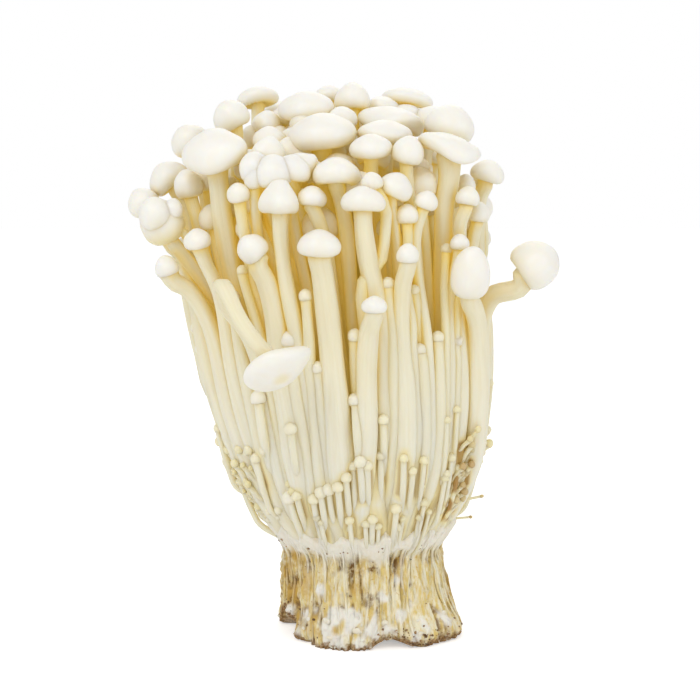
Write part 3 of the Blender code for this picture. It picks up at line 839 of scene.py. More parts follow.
class Paint:
    """A material whose nodes are added by one method."""

    def __init__(self, name, roughness, scatter=0.0, scatter_scale=0.001):
        self.material = bpy.data.materials.new(name)
        self.material.use_nodes = True
        self.tree = self.material.node_tree
        self.shader = self.tree.nodes["Principled BSDF"]
        self.set("Roughness", roughness)
        self.set("Subsurface Weight", scatter)
        self.set("Subsurface Scale", scatter_scale)

    def set(self, socket, value):
        if isinstance(value, Wire):
            self.tree.links.new(value.socket, self.shader.inputs[socket])
        else:
            self.shader.inputs[socket].default_value = value

    def node(self, kind, settings, values, output=0):
        """Adds a node. Its settings come first, and then the value or link of each socket."""
        made = self.tree.nodes.new(kind)
        for name, value in settings.items():
            setattr(made, name, value)
        for socket, value in values.items():
            if isinstance(value, Wire):
                self.tree.links.new(value.socket, made.inputs[socket])
            else:
                made.inputs[socket].default_value = value
        return Wire(self, made.outputs[output])

    def mix(self, share, low, high):
        """A colour between two, each a colour or a link."""
        low, high = (value if isinstance(value, Wire) else (*value, 1) for value in (low, high))
        return self.node("ShaderNodeMix", {"data_type": "RGBA"}, {0: share, 6: low, 7: high}, 2)

    def place(self):
        return self.node("ShaderNodeTexCoord", {}, {}, "Object")

    def height(self):
        """The height above the cut face, in metres."""
        return self.node("ShaderNodeSeparateXYZ", {}, {0: self.place()}, 2)

    def grain(self, *scale):
        """Places that run with the flesh, stretched by scale."""
        grain = self.node("ShaderNodeAttribute", {"attribute_name": "grain"}, {}, 1)
        return self.node("ShaderNodeMapping", {}, {0: grain, 3: scale})

    def parts(self):
        """The four numbers that a piece carries: deep (for painted golden shade), cap, gill and warmth
        (partly painted warm shade) on the flesh, and crevice (brown and painted shade), white thread,
        stain (with painted shade at the left) and soil (with a painted contact shadow) on the foot."""
        colour = self.node("ShaderNodeAttribute", {"attribute_name": "parts"}, {}, 0)
        three = [self.node("ShaderNodeSeparateColor", {}, {0: colour}, each) for each in range(3)]
        return *three, self.node("ShaderNodeAttribute", {"attribute_name": "parts"}, {}, 3)

    def noise(self, place, scale, detail=3.0, roughness=0.5):
        values = {"Vector": place, "Scale": scale, "Detail": detail, "Roughness": roughness}
        return self.node("ShaderNodeTexNoise", {}, values, 0)

    def bump(self, height, distance, strength=1.0):
        values = {"Height": height, "Distance": distance, "Strength": strength}
        return self.node("ShaderNodeBump", {}, values)


def flesh_material(colours):
    """Moist white flesh: creamy stems with fine fibres, white caps, and painted golden shade and glow
    where it is deep.
    """
    paint = Paint("enoki_flesh", 0.45, 0.35, 0.003)
    paint.set("Subsurface Radius", (1.0, 0.82, 0.5))
    paint.set("Coat Roughness", 0.3)
    deep, cap, gill, warmth = paint.parts()
    fibres = paint.noise(paint.grain(1.6, 1.6, 0.05), 1.0, 4.0, 0.6)
    mottle = paint.noise(paint.grain(0.35, 0.35, 0.12), 1.0, 2.0)
    rise = paint.height().smooth(0.03, 0.085)
    stem = paint.mix(rise, colours.stem_low, colours.stem_high)
    stem = paint.mix((fibres - 0.5) * 0.9 + mottle * 0.32, stem, colours.stem_streak)
    white = paint.mix(mottle.smooth(0.35, 0.7) * 0.5, colours.cap, colours.cap_tint)
    colour = paint.mix(cap, stem, white)
    colour = paint.mix(gill * 0.7, colour, colours.gill)
    colour = paint.mix(warmth, colour, colours.pin)
    # Warmth over 1 browns the dried pins, and gives the painted shade round the young stems
    colour = paint.mix(warmth - 1, colour, colours.old_pin_and_shade)
    higher = paint.height().smooth(0.045, 0.095)
    # Painted golden shade: flesh deep in the gaps turns gold in place of the shade and bounced light there
    gap = (deep - 0.15) * (0.45 + 0.9 * higher) * (1 - cap * 0.6)
    colour = paint.mix(gap, colour, colours.gap)
    paint.set("Base Color", colour)
    # Painted glow: deep flesh gives off a little golden light, as if lit through
    paint.set("Emission Color", paint.mix((gap - 0.2) * 1.2, (0, 0, 0), colours.glow))
    paint.set("Emission Strength", 1.0)
    paint.set("Roughness", 0.40 + mottle * 0.2 - cap * 0.06)
    paint.set("Coat Weight", cap * 0.15)
    ripple = paint.noise(paint.grain(0.5, 0.5, 0.2), 1.0, 3.0)
    relief = fibres * (1 - cap) + ripple * 0.8
    paint.set("Normal", paint.bump(relief, 0.00025, 0.6))
    return paint.material


def foot_material(colours):
    """Matted stem bases: pale ridges with ochre stains, brown crevices that are partly painted shade, and
    specks.
    """
    paint = Paint("enoki_foot", 0.75, 0.12, 0.002)
    paint.set("Subsurface Radius", (1.0, 0.62, 0.3))
    crevice_brown_and_shade, white, stain_and_shade, soil_and_shadow = paint.parts()
    place = paint.place()
    streaks = paint.node("ShaderNodeMapping", {}, {0: place, 3: (900, 900, 130)})
    streak = paint.noise(streaks, 1.0, 4.0, 0.65)
    patches = paint.noise(place, 260, 4.0, 0.6)
    fine = paint.noise(place, 1500, 3.0, 0.6)
    colour = paint.mix(streak.smooth(0.40, 0.62), colours.foot_pale, colours.foot_ochre)
    # Yellow stains, and painted shade at the left
    colour = paint.mix(stain_and_shade * patches.smooth(0.35, 0.6), colour, colours.foot_stain)
    grainy = paint.noise(place, 900, 3.0, 0.6).smooth(0.36, 0.58)
    # Painted shade, partly brown, in the crevices, under the collar and at the left
    colour = paint.mix(crevice_brown_and_shade * (0.25 + 0.85 * grainy), colour, colours.foot_brown_and_shade)
    colour = paint.mix(white, colour, colours.thread)
    specks = paint.noise(place, 1100, 2.0, 0.5).smooth(0.68, 0.74)
    colour = paint.mix(specks * (1 - white) * 0.7, colour, colours.foot_stain)
    grains = paint.mix(fine.smooth(0.4, 0.6), colours.crumb, colours.foot_brown_and_shade)
    # Soil grains, with a painted contact shadow along the bottom edge
    colour = paint.mix(soil_and_shadow * patches.smooth(0.3, 0.5), colour, grains)
    paint.set("Base Color", colour)
    paint.set("Roughness", 0.65 + fine * 0.3)
    paint.set("Normal", paint.bump(streak * 0.7 + fine * 0.5, 0.0006, 0.7))
    return paint.material


def crumb_material(colours):
    """Grains of the growing medium: bran and sawdust, tan to dark brown."""
    paint = Paint("growing_medium", 0.85)
    place = paint.place()
    patches = paint.noise(place, 700, 3.0, 0.6)
    fine = paint.noise(place, 2600, 3.0, 0.6)
    colour = paint.mix(patches.smooth(0.4, 0.62), colours.crumb, colours.crumb_dark)
    paint.set("Base Color", colour)
    paint.set("Roughness", 0.75 + fine * 0.2)
    paint.set("Normal", paint.bump(fine, 0.0004, 0.8))
    return paint.material


def floor_material(colours):
    """The pale floor, lit from within a little, as a white sweep in a studio is."""
    paint = Paint("studio_floor", 0.9)
    seen = paint.node("ShaderNodeLightPath", {}, {}, "Is Camera Ray")
    paint.set("Base Color", (*colours.floor, 1))
    paint.set("Emission Color", (*colours.floor, 1))
    paint.set("Emission Strength", 0.02 + seen * 0.4)
    paint.set("Specular IOR Level", 0.0)
    return paint.material


def material_named(name, maker):
    """A material that has been made already, or else a new one."""
    return bpy.data.materials.get(name) or maker(bpy.context.scene.enoki_colours)


# ---------------------------------------------------------------- properties


def colour_property(name, description, default):
    return FloatVectorProperty(
        name=name, description=description, subtype="COLOR", size=3, min=0, max=1, default=default
    )


def length_property(name, description, default):
    return FloatProperty(name=name, description=description, unit="LENGTH", default=default)


class EnokiSizes(bpy.types.PropertyGroup):
    neck: length_property("Neck", "Half the width of the bunch where the stems leave the foot", 0.0172)
    swell: length_property("Swell", "How much further the bunch reaches at its crown", 0.0198)
    swell_height: length_property("Swell height", "The rise over which the bunch swells", 0.0225)
    roundness: FloatProperty(
        name="Roundness", description="Depth of the bunch as a share of its width", default=0.9
    )
    lean_at_foot: length_property("Lean at foot", "How far across the middle starts", -0.0015)
    lean_at_crown: length_property("Lean at crown", "How much further across it ends", -0.0085)
    lean_power: FloatProperty(
        name="Lean power", description="How late the bunch leans as it rises", default=1.3
    )
    crown_base: length_property("Crown base", "Where the lean is complete", 0.102)
    side_stems: IntProperty(
        name="Side stems", description="Slim mushrooms round the sides and the back", default=96
    )
    inner_stems: IntProperty(
        name="Inner stems", description="Mushrooms that stand inside the bunch", default=84
    )
    pins: IntProperty(name="Pins", description="Pinheads round the collar and the sides", default=200)
    crumbs: IntProperty(name="Crumbs", description="Grains of the growing medium", default=260)
    strands: IntProperty(name="Strands", description="Thin strands down the foot", default=170)
    tufts: IntProperty(name="Tufts", description="Tufts of white threads", default=16)


class EnokiColours(bpy.types.PropertyGroup):
    cap: colour_property("Cap", "White of a cap", (0.93, 0.91, 0.85))
    cap_tint: colour_property("Cap tint", "Cream that clouds a cap", (0.93, 0.88, 0.77))
    stem_high: colour_property("Stem", "Cream of a stem near its cap", (0.87, 0.81, 0.60))
    stem_low: colour_property("Stem base", "White of a stem near the foot", (0.87, 0.85, 0.74))
    stem_streak: colour_property("Stem streak", "Wet-looking fibres on a stem", (0.79, 0.70, 0.44))
    gill: colour_property("Gills", "Underside of a cap", (0.90, 0.79, 0.48))
    pin: colour_property("Pin", "Pinheads and small mushrooms", (0.88, 0.78, 0.47))
    # The gap colour is painted golden shade and the glow is a painted glow, both deep inside the bunch
    gap: colour_property("Gap", "Flesh deep inside the bunch", (0.84, 0.63, 0.16))
    glow: colour_property("Glow", "Light that comes through deep flesh", (0.15, 0.115, 0.016))
    # The old pin colour also paints the brown shade round the young stems
    old_pin_and_shade: colour_property("Old pin", "Pinheads that have dried", (0.42, 0.24, 0.07))
    foot_pale: colour_property("Foot", "Clean stem bases", (0.90, 0.83, 0.62))
    foot_ochre: colour_property("Foot ochre", "Stained stem bases", (0.76, 0.58, 0.20))
    foot_stain: colour_property("Foot stain", "Deep yellow stains", (0.62, 0.40, 0.09))
    # Foot brown is also the painted shade in the crevices
    foot_brown_and_shade: colour_property("Foot brown", "Crevices of the foot", (0.21, 0.105, 0.02))
    thread: colour_property("Threads", "White threads at the bottom", (0.90, 0.87, 0.79))
    crumb: colour_property("Crumb", "Pale grains of bran", (0.45, 0.28, 0.13))
    crumb_dark: colour_property("Dark crumb", "Dark grains of sawdust", (0.15, 0.08, 0.035))
    floor: colour_property("Floor", "The floor and the room", (0.95, 0.95, 0.95))


# ---------------------------------------------------------------- operators


class ENOKI_OT_stage(bpy.types.Operator):
    """Add the floor, the soft lights and the camera"""

    bl_idname = "enoki.stage"
    bl_label = "Stage"

    def execute(self, context):
        scene = context.scene
        work = bmesh.new()
        bmesh.ops.create_grid(work, x_segments=1, y_segments=1, size=FLOOR_SIZE)
        mesh = bpy.data.meshes.new("floor")
        work.to_mesh(mesh)
        work.free()
        mesh.materials.append(material_named("studio_floor", floor_material))
        floor = bpy.data.objects.new("floor", mesh)
        scene.collection.objects.link(floor)
        floor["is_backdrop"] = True
        for name, place, size, power, tint in LIGHTS:
            lamp = bpy.data.lights.new(name, "AREA")
            lamp.size = size
            lamp.energy = power
            lamp.color = tint
            light = bpy.data.objects.new(name, lamp)
            light.location = place
            aim = Vector(AIM) - light.location
            light.rotation_euler = aim.to_track_quat("-Z", "Y").to_euler()
            scene.collection.objects.link(light)
        camera = bpy.data.cameras.new("camera")
        camera.lens = CAMERA_LENS
        camera.sensor_width = 36
        view = bpy.data.objects.new("camera", camera)
        view.location = CAMERA_PLACE
        view.rotation_euler = (math.radians(90 - CAMERA_DIP), 0, 0)
        scene.collection.objects.link(view)
        scene.camera = view
        scene.view_settings.view_transform = "Standard"
        scene.view_settings.look = "None"
        self.add_room(scene)
        return {"FINISHED"}

    def add_room(self, scene):
        """A white room: brighter where it is looked at than in the light it gives."""
        world = bpy.data.worlds.new("room")
        world.use_nodes = True
        scene.world = world
        nodes, links = world.node_tree.nodes, world.node_tree.links
        path = nodes.new("ShaderNodeLightPath")
        strength = nodes.new("ShaderNodeMapRange")
        strength.inputs["To Min"].default_value = ROOM_LIGHT
        strength.inputs["To Max"].default_value = 1.0
        links.new(path.outputs["Is Camera Ray"], strength.inputs["Value"])
        background = nodes["Background"]
        background.inputs["Color"].default_value = (1, 1, 1, 1)
        links.new(strength.outputs["Result"], background.inputs["Strength"])


class ENOKI_OT_large(bpy.types.Operator):
    """Grow the large mushrooms along the frame"""

    bl_idname = "enoki.large"
    bl_label = "Large Mushrooms"

    def execute(self, context):
        material = material_named("enoki_flesh", flesh_material)
        for number, node in enumerate(large_nodes()):
            kind = node.removesuffix("_mushroom")
            centres, radii = rings_of(node)
            if kind in BELLS:
                radii[-len(FULLER) :] *= FULLER
            radii[:-CAP_RINGS] *= STOUTER.get(kind, 1.0)
            form, tint = FORMS.get(kind, LARGE), TINTS.get(kind, Tint())
            growth = Growth()
            growth.add(*shape_mushroom(centres, radii, form, SEEDS["large"] + number, tint))
            growth.finish(node + "_flesh", material, (node,))
        return {"FINISHED"}


class ENOKI_OT_buds(bpy.types.Operator):
    """Add the small mushrooms that crowd into lumps and fill the back of the crown"""

    bl_idname = "enoki.buds"
    bl_label = "Buds"

    def execute(self, context):
        growth = Growth()
        for number, bud in enumerate(BUDS):
            tip = Euler((math.radians(bud.tip_front), math.radians(bud.tip_right), 0))
            axis = np.array(tip.to_matrix().col[2])
            under = np.array(bud[:3]) - axis * bud.tall / 2
            to_foot = np.array([-BUD_INWARD * under[0], -BUD_INWARD * under[1], -BUD_STEM])
            shares = np.linspace(1, 0, BUD_POINTS)[:, None]
            line = under + to_foot * shares + axis * BUD_BOW * shares * (1 - shares)
            caps, cap_radii = cap_stations(under, axis, bud.width, bud.tall)
            radii = np.concatenate([np.full(BUD_POINTS, BUD_STEM_WIDTH * bud.width), cap_radii])
            growth.add(*shape_mushroom(np.vstack([line, caps]), radii, BUD, SEEDS["buds"] + number))
        growth.finish("buds", material_named("enoki_flesh", flesh_material))
        return {"FINISHED"}


def surface_share(outline, across, height, reach):
    """The place at the front of the bunch, as a pair of shares of its half width."""
    widest = reach * NEAR_EDGE
    share = float(np.clip(outline.share(across, height), -widest, widest))
    return share, -math.sqrt(max(0.0, reach**2 - share**2))


def front_slims(outline):
    """The slim mushrooms that were chosen one by one, but for the young ones."""
    for slim in FRONT_SLIM:
        if slim.height >= YOUNG_BELOW:
            yield slim, surface_share(outline, slim.across, slim.height, FRONT_REACH)


def side_slims(count, chance):
    """Slim mushrooms round the sides and the back, a few of them tall and most of them low."""
    for number in range(count):
        turn = math.radians(SIDE_FROM + SIDE_ROUND * ((number * GOLDEN) % 1))
        rise = (number * EVEN) % 1
        height = SIDE_LOWEST + SIDE_RANGE * rise**1.25
        cap = 1.7 + 3.0 * (rise**1.5) * chance.uniform(0.8, 1.3)
        stem = 0.45 * cap + chance.uniform(0.5, 1.2)
        yield Slim(turn, height, cap, stem), (math.cos(turn), math.sin(turn))


def inner_slims(count, chance):
    """Mushrooms inside the bunch, spread evenly like seeds in a sunflower, the tallest in the middle."""
    for number in range(count):
        reach = INNER_REACH * math.sqrt((number + 0.5) / count)
        turn = number * GOLDEN * math.tau
        height = 119 - 20 * reach**2 + chance.uniform(-13, 1)
        slim = Slim(reach, height, chance.uniform(5, 8.5), chance.uniform(2.0, 3.0))
        yield slim, (reach * math.cos(turn), reach * math.sin(turn))


class ENOKI_OT_slim(bpy.types.Operator):
    """Fill the bunch with slim mushrooms that press between the large ones"""

    bl_idname = "enoki.slim"
    bl_label = "Slim Mushrooms"

    def execute(self, context):
        sizes = context.scene.enoki_sizes
        outline = Outline(sizes)
        stand = Stand(outline)
        for node in large_nodes():
            stand.add_fixed(*rings_of(node))
        chance = random.Random(7)
        kinds = {
            "front": front_slims(outline),
            "side": side_slims(sizes.side_stems, chance),
            "inner": inner_slims(sizes.inner_stems, chance),
        }
        grown = [
            (kind, slim, stand.add(slim, share)) for kind, slims in kinds.items() for slim, share in slims
        ]
        stand.settle(SETTLING_ROUNDS)
        groups = {}
        for number, (kind, slim, row) in enumerate(grown):
            line = stand.line(row, slim.height - GILLS_BELOW * slim.cap)
            if kind == "inner":
                share = number / len(grown)
            else:
                turn = math.atan2(line[-1][1], line[-1][0] - outline.lean(line[-1][2]))
                share = turn / math.tau % 1
            growth = groups.setdefault((kind, int(share * SECTORS[kind])), Growth())
            growth.add(*shape_slim(slim, line, SLENDER, SEEDS["slim"] + number))
        material = material_named("enoki_flesh", flesh_material)
        last_inner = max(key for key in groups if key[0] == "inner")
        for kind, sector in sorted(groups):
            replaced = (CLUMP,) if (kind, sector) == last_inner else ()
            groups[kind, sector].finish(f"slim_{kind}_{sector + 1}", material, replaced)
        return {"FINISHED"}


def grown_tree():
    """All the flesh that has grown so far, and the foot, for rays to be cast at."""
    work = bmesh.new()
    for piece in bpy.data.objects:
        if piece.type == "MESH" and "parts" in piece.data.attributes:
            work.from_mesh(piece.data)
    tree = BVHTree.FromBMesh(work)
    work.free()
    return tree


def shade_and_stain_flesh(places, strength):
    """Browns the flesh that stands close to the places, which are in millimetres: painted shade round the
    young mushrooms, and a stain round the dried pins.
    """
    near = KDTree(len(places))
    for number, place in enumerate(places):
        near.insert(place, number)
    near.balance()
    for piece in bpy.data.objects:
        if piece.type != "MESH" or "grain" not in piece.data.attributes:
            continue
        colours = piece.data.attributes["parts"].data
        for vert in piece.data.vertices:
            away = near.find(vert.co / MM)[2]
            if away < SHADE_AND_STAIN_REACH:
                stain_and_shade = SHADE_AND_STAIN_WARMTH * strength * ease(SHADE_AND_STAIN_REACH, SHADE_AND_STAIN_CORE * SHADE_AND_STAIN_REACH, away)
                *others, warmth = colours[vert.index].color
                colours[vert.index].color = (*others, max(warmth, stain_and_shade))


class ENOKI_OT_young(bpy.types.Operator):
    """Grow the young mushrooms that cling to the front of the fused stems"""

    bl_idname = "enoki.young"
    bl_label = "Young Mushrooms"

    def execute(self, context):
        outline = Outline(context.scene.enoki_sizes)
        tree = grown_tree()
        growth = Growth()
        beside = []
        for number, slim in enumerate(FRONT_SLIM):
            if slim.height < YOUNG_BELOW:
                line = self.line(slim, outline, tree)
                growth.add(*shape_slim(slim, line, YOUNG, SEEDS["young"] + number))
                if slim.height < SHADED_BELOW:
                    beside.extend(line[len(line) // 3 :])
        # Painted brown shade on the flesh round the lower young stems
        shade_and_stain_flesh(beside, 1.0)
        growth.finish("young_front", material_named("enoki_flesh", flesh_material))
        return {"FINISHED"}

    def line(self, slim, outline, tree):
        """A stem's line up the front of the bunch, half sunk in what stands behind it."""
        top = slim.height - GILLS_BELOW * slim.cap
        seen_from = max(FOOT_TOP + 1, top - YOUNG_SHOWN * slim.height)
        heights = np.append(np.arange(seen_from, top - 0.5 * YOUNG_STEP, YOUNG_STEP), top)
        share = surface_share(outline, slim.across, slim.height, FRONT_REACH)
        places = outline.place(share, heights)
        depths = places[:, 1].copy()
        for number, (height, (across, front)) in enumerate(zip(heights, places)):
            start = Vector((across, FRONT_CLEAR, height)) * MM
            hit = tree.ray_cast(start, Vector((0, 1, 0)))[0]
            found = hit.y / MM if hit else front
            depths[number] = min(max(found, front - YOUNG_PROUD), front + YOUNG_SINK)
        for _ in range(4):
            depths[1:-1] = np.minimum(depths[1:-1], (depths[2:] + depths[:-2]) / 2)
            depths[1:-1] = 0.5 * depths[1:-1] + 0.25 * (depths[2:] + depths[:-2])
        rise = (heights - seen_from) / (top - seen_from)
        depths += slim.stem * (0.9 * (1 - smoothstep(0, 0.6, rise)) - 0.2)
        across = slim.across + (places[:, 0] - slim.across) * YOUNG_FOLLOWS
        return np.column_stack([across, depths, heights])


def frame_tree(node):
    """A copy of a CAD node, merged, for rays to be cast at."""
    work = bmesh.new()
    work.from_mesh(frame["nodes"][node].data)
    bmesh.ops.remove_doubles(work, verts=work.verts, dist=WELD)
    tree = BVHTree.FromBMesh(work)
    work.free()
    return tree


class FootShape:
    """The foot's side: ridges of stem bases with crevices between them, under a collar of stems."""

    flesh = None

    def __init__(self, outline):
        self.tree = frame_tree(FOOT)
        self.outline = outline
        if FootShape.flesh is None:
            FootShape.flesh = grown_tree()

    def block(self, turn, height):
        """How far the foot of the frame reaches from its axis."""
        start = Vector((0, 0, height * MM))
        hit = self.tree.ray_cast(start, sideways(turn))[0]
        return (hit - start).length / MM

    def skin(self, turn, height):
        """How far the stems reach from the foot's axis, with the hollows between them bridged."""
        reaches = []
        for beside in (-BRIDGED, 0.0, BRIDGED):
            out = sideways(turn + beside)
            start = out * RAY_START * MM + Vector((0, 0, height * MM))
            hit = FootShape.flesh.ray_cast(start, -out)[0]
            reaches.append(hit.to_2d().length / MM if hit else 0.0)
        stretch = math.hypot(math.cos(turn), math.sin(turn) / self.outline.roundness)
        widest = (self.outline.half_width(height) + COLLAR_REACH) / stretch
        return min(max(max(reaches) + COLLAR_CLEAR, widest - COLLAR_SLACK), widest)

    def bottom(self, turn):
        """How far the cut edge is chipped up from the flat face: most at the left and in a notch."""
        chips = noise.noise(Vector((math.cos(turn) * 2.4, math.sin(turn) * 2.4, 7.3)))
        lifted = ease(0.945, 0.985, towards(turn, LIFTED_TURN))
        notch = towards(turn, NOTCH_TURN) ** 44
        return max(0.0, LIFTED * lifted + NOTCHED * notch + CHIPPED * chips)

    def marks(self, turn, height):
        """The unevenness of a place: noises about -1 to 1, and valleys and creases from 0 to 1."""
        around = sideways(turn) * NOISE_CIRCLE
        found = {
            name: noise.noise(around * scale + Vector((across, depth, height * rate)))
            for name, (scale, across, depth, rate) in FOOT_NOISE.items()
        }
        bend = found["bend"] * 3
        cell = around / 2.3 + Vector((bend * 0.3, bend * 0.2, height / 19))
        near, second = noise.voronoi(cell)[0][:2]
        valley = 1 - ease(0.02, 0.26, second - near)
        fine_cell = around / 0.8 + Vector((0, bend * 0.4, height / 10 + 4))
        near, second = noise.voronoi(fine_cell)[0][:2]
        return Marks(**found, valley=valley, crease=1 - ease(0.0, 0.3, second - near))

    def point(self, turn, share):
        """A point on the side at a share of its height, with its crevice brown and painted shade, white
        threads, stain with painted shade at the left, and soil with a painted contact shadow.
        """
        low = self.bottom(turn)
        height = low + (COLLAR_TOP - low) * share
        marks = self.marks(turn, height)
        sway = 2.4 * noise.noise(sideways(turn) * 4 + Vector((4, 4, 4)))
        collar = ease(FOOT_TOP - 3, FOOT_TOP, height + sway)
        edge = 1 - ease(0, EDGE, height - low)

        radius = self.block(turn, min(max(height, EDGE), FOOT_TOP - 0.2))
        above = self.skin(turn, height) if collar else radius
        tuck = FOOT_TOP + 2.4 + 2.6 * marks.rough
        above -= COLLAR_TUCK * ease(tuck, tuck + 4.5, height) ** 1.5
        radius += (above - radius) * collar
        relief = sum(depth * getattr(marks, name) for name, depth in RELIEF.items())
        radius += relief * (1 - collar * 0.75) + 0.6 - 0.6 * edge**2
        radius += 1.6 * towards(turn, CORNER_TURN) ** 10 * ease(9, 2, height)

        matted = towards(turn, MATTED_TURN) ** 2
        thread = 0.8 * marks.spots + 0.5 * marks.lump + 0.5 * matted - 0.042 * height
        white = ease(0.1, 0.45, thread)
        radius += 0.6 * white * ease(9, 3, height) * (0.7 + 0.9 * marks.grit)
        # Painted shade, partly brown, in the crevices and under the collar, and painted shade at the left
        deep, stain_and_shade = self.stains_and_shade(turn, height + sway, marks)
        soiled = (towards(turn, SOILED_RIGHT_TURN) ** 6 + towards(turn, SOILED_LEFT_TURN) ** 6) * edge
        soil_and_shadow = ease(0.3, 0.7, soiled + 0.5 * marks.grit)
        # Dark soil along the bottom 2 mm of the cut edge, partly a painted contact shadow
        soil_and_shadow = max(soil_and_shadow, ease(2.0, 0.7, height - low + 1.5 * marks.grit))
        bare = 1 - collar
        return radius, height, (deep * bare, max(white, 0.85 * collar), stain_and_shade * bare, soil_and_shadow)

    def stains_and_shade(self, turn, height, marks):
        """How brown and how yellow the bare side is: brown under the collar and in valleys, partly painted
        shade, and painted shade at the left, brown and yellow.
        """
        under = ease(FOOT_TOP - 9, FOOT_TOP - 3.5, height)
        under *= (0.35 + 0.65 * marks.valley) * ease(0.0, 0.25, marks.spots + 0.4 * marks.patch)
        valley = 0.9 * marks.valley * ease(-0.05, 0.25, marks.patch + marks.spots)
        # Painted shade down the left side of the foot, brown and yellow
        shaded = towards(turn, SHADED_TURN) ** 16
        shade = shaded * (0.25 + 0.6 * marks.valley) * ease(-0.2, 0.2, marks.spots)
        yellow = ease(0.0, 0.5, marks.patch + 0.6 * marks.lump)
        return max(under, valley, shade), max(yellow, shaded)


class ENOKI_OT_foot(bpy.types.Operator):
    """Build the root foot: matted stem bases under a white collar"""

    bl_idname = "enoki.foot"
    bl_label = "Root Foot"

    def execute(self, context):
        shape = FootShape(Outline(context.scene.enoki_sizes))
        work = bmesh.new()
        parts = work.verts.layers.float_color.new("parts")
        bmesh.ops.create_circle(work, cap_ends=False, segments=FOOT_SIDES, radius=1.0)
        turns = {vert: math.atan2(vert.co.y, vert.co.x) for vert in work.verts}
        ring = list(work.edges)
        shares = np.linspace(0, 1, FOOT_RINGS) ** 0.9
        self.place(shape, turns, parts, shares[0])
        for share in shares[1:]:
            ring, turns = self.extrude(work, ring)
            self.place(shape, turns, parts, share)
        self.close(work, ring, parts, FOOT_TOP)
        self.close(work, [edge for edge in work.edges if edge.is_boundary], parts, 0.0)
        bmesh.ops.recalc_face_normals(work, faces=work.faces)
        mesh = bpy.data.meshes.new("root_foot_body")
        work.to_mesh(mesh)
        work.free()
        material = material_named("enoki_foot", foot_material)
        add_piece("root_foot_body", mesh, material, (FOOT,))
        return {"FINISHED"}

    def extrude(self, work, ring):
        """A new ring of edges on top of one, and the turn of each of its points."""
        grown = bmesh.ops.extrude_edge_only(work, edges=ring)["geom"]
        edges = [each for each in grown if isinstance(each, bmesh.types.BMEdge)]
        verts = [each for each in grown if isinstance(each, bmesh.types.BMVert)]
        return edges, {vert: math.atan2(vert.co.y, vert.co.x) for vert in verts}

    def place(self, shape, turns, parts, share):
        for vert, turn in turns.items():
            radius, height, vert[parts] = shape.point(turn, share)
            vert.co = Vector((radius * math.cos(turn), radius * math.sin(turn), height)) * MM

    def close(self, work, ring, parts, height):
        """Closes an end with rings that shrink to a point at a height."""
        for share in CLOSING_RINGS:
            ring, turns = self.extrude(work, ring)
            for vert in turns:
                level = height * MM + (vert.co.z - height * MM) * share * 0.8
                vert.co = Vector((vert.co.x * share, vert.co.y * share, level))
                vert[parts] = END_LOOKS if height else CUT_LOOKS
        middle = bmesh.ops.holes_fill(work, edges=ring)["faces"]
        bmesh.ops.poke(work, faces=middle)


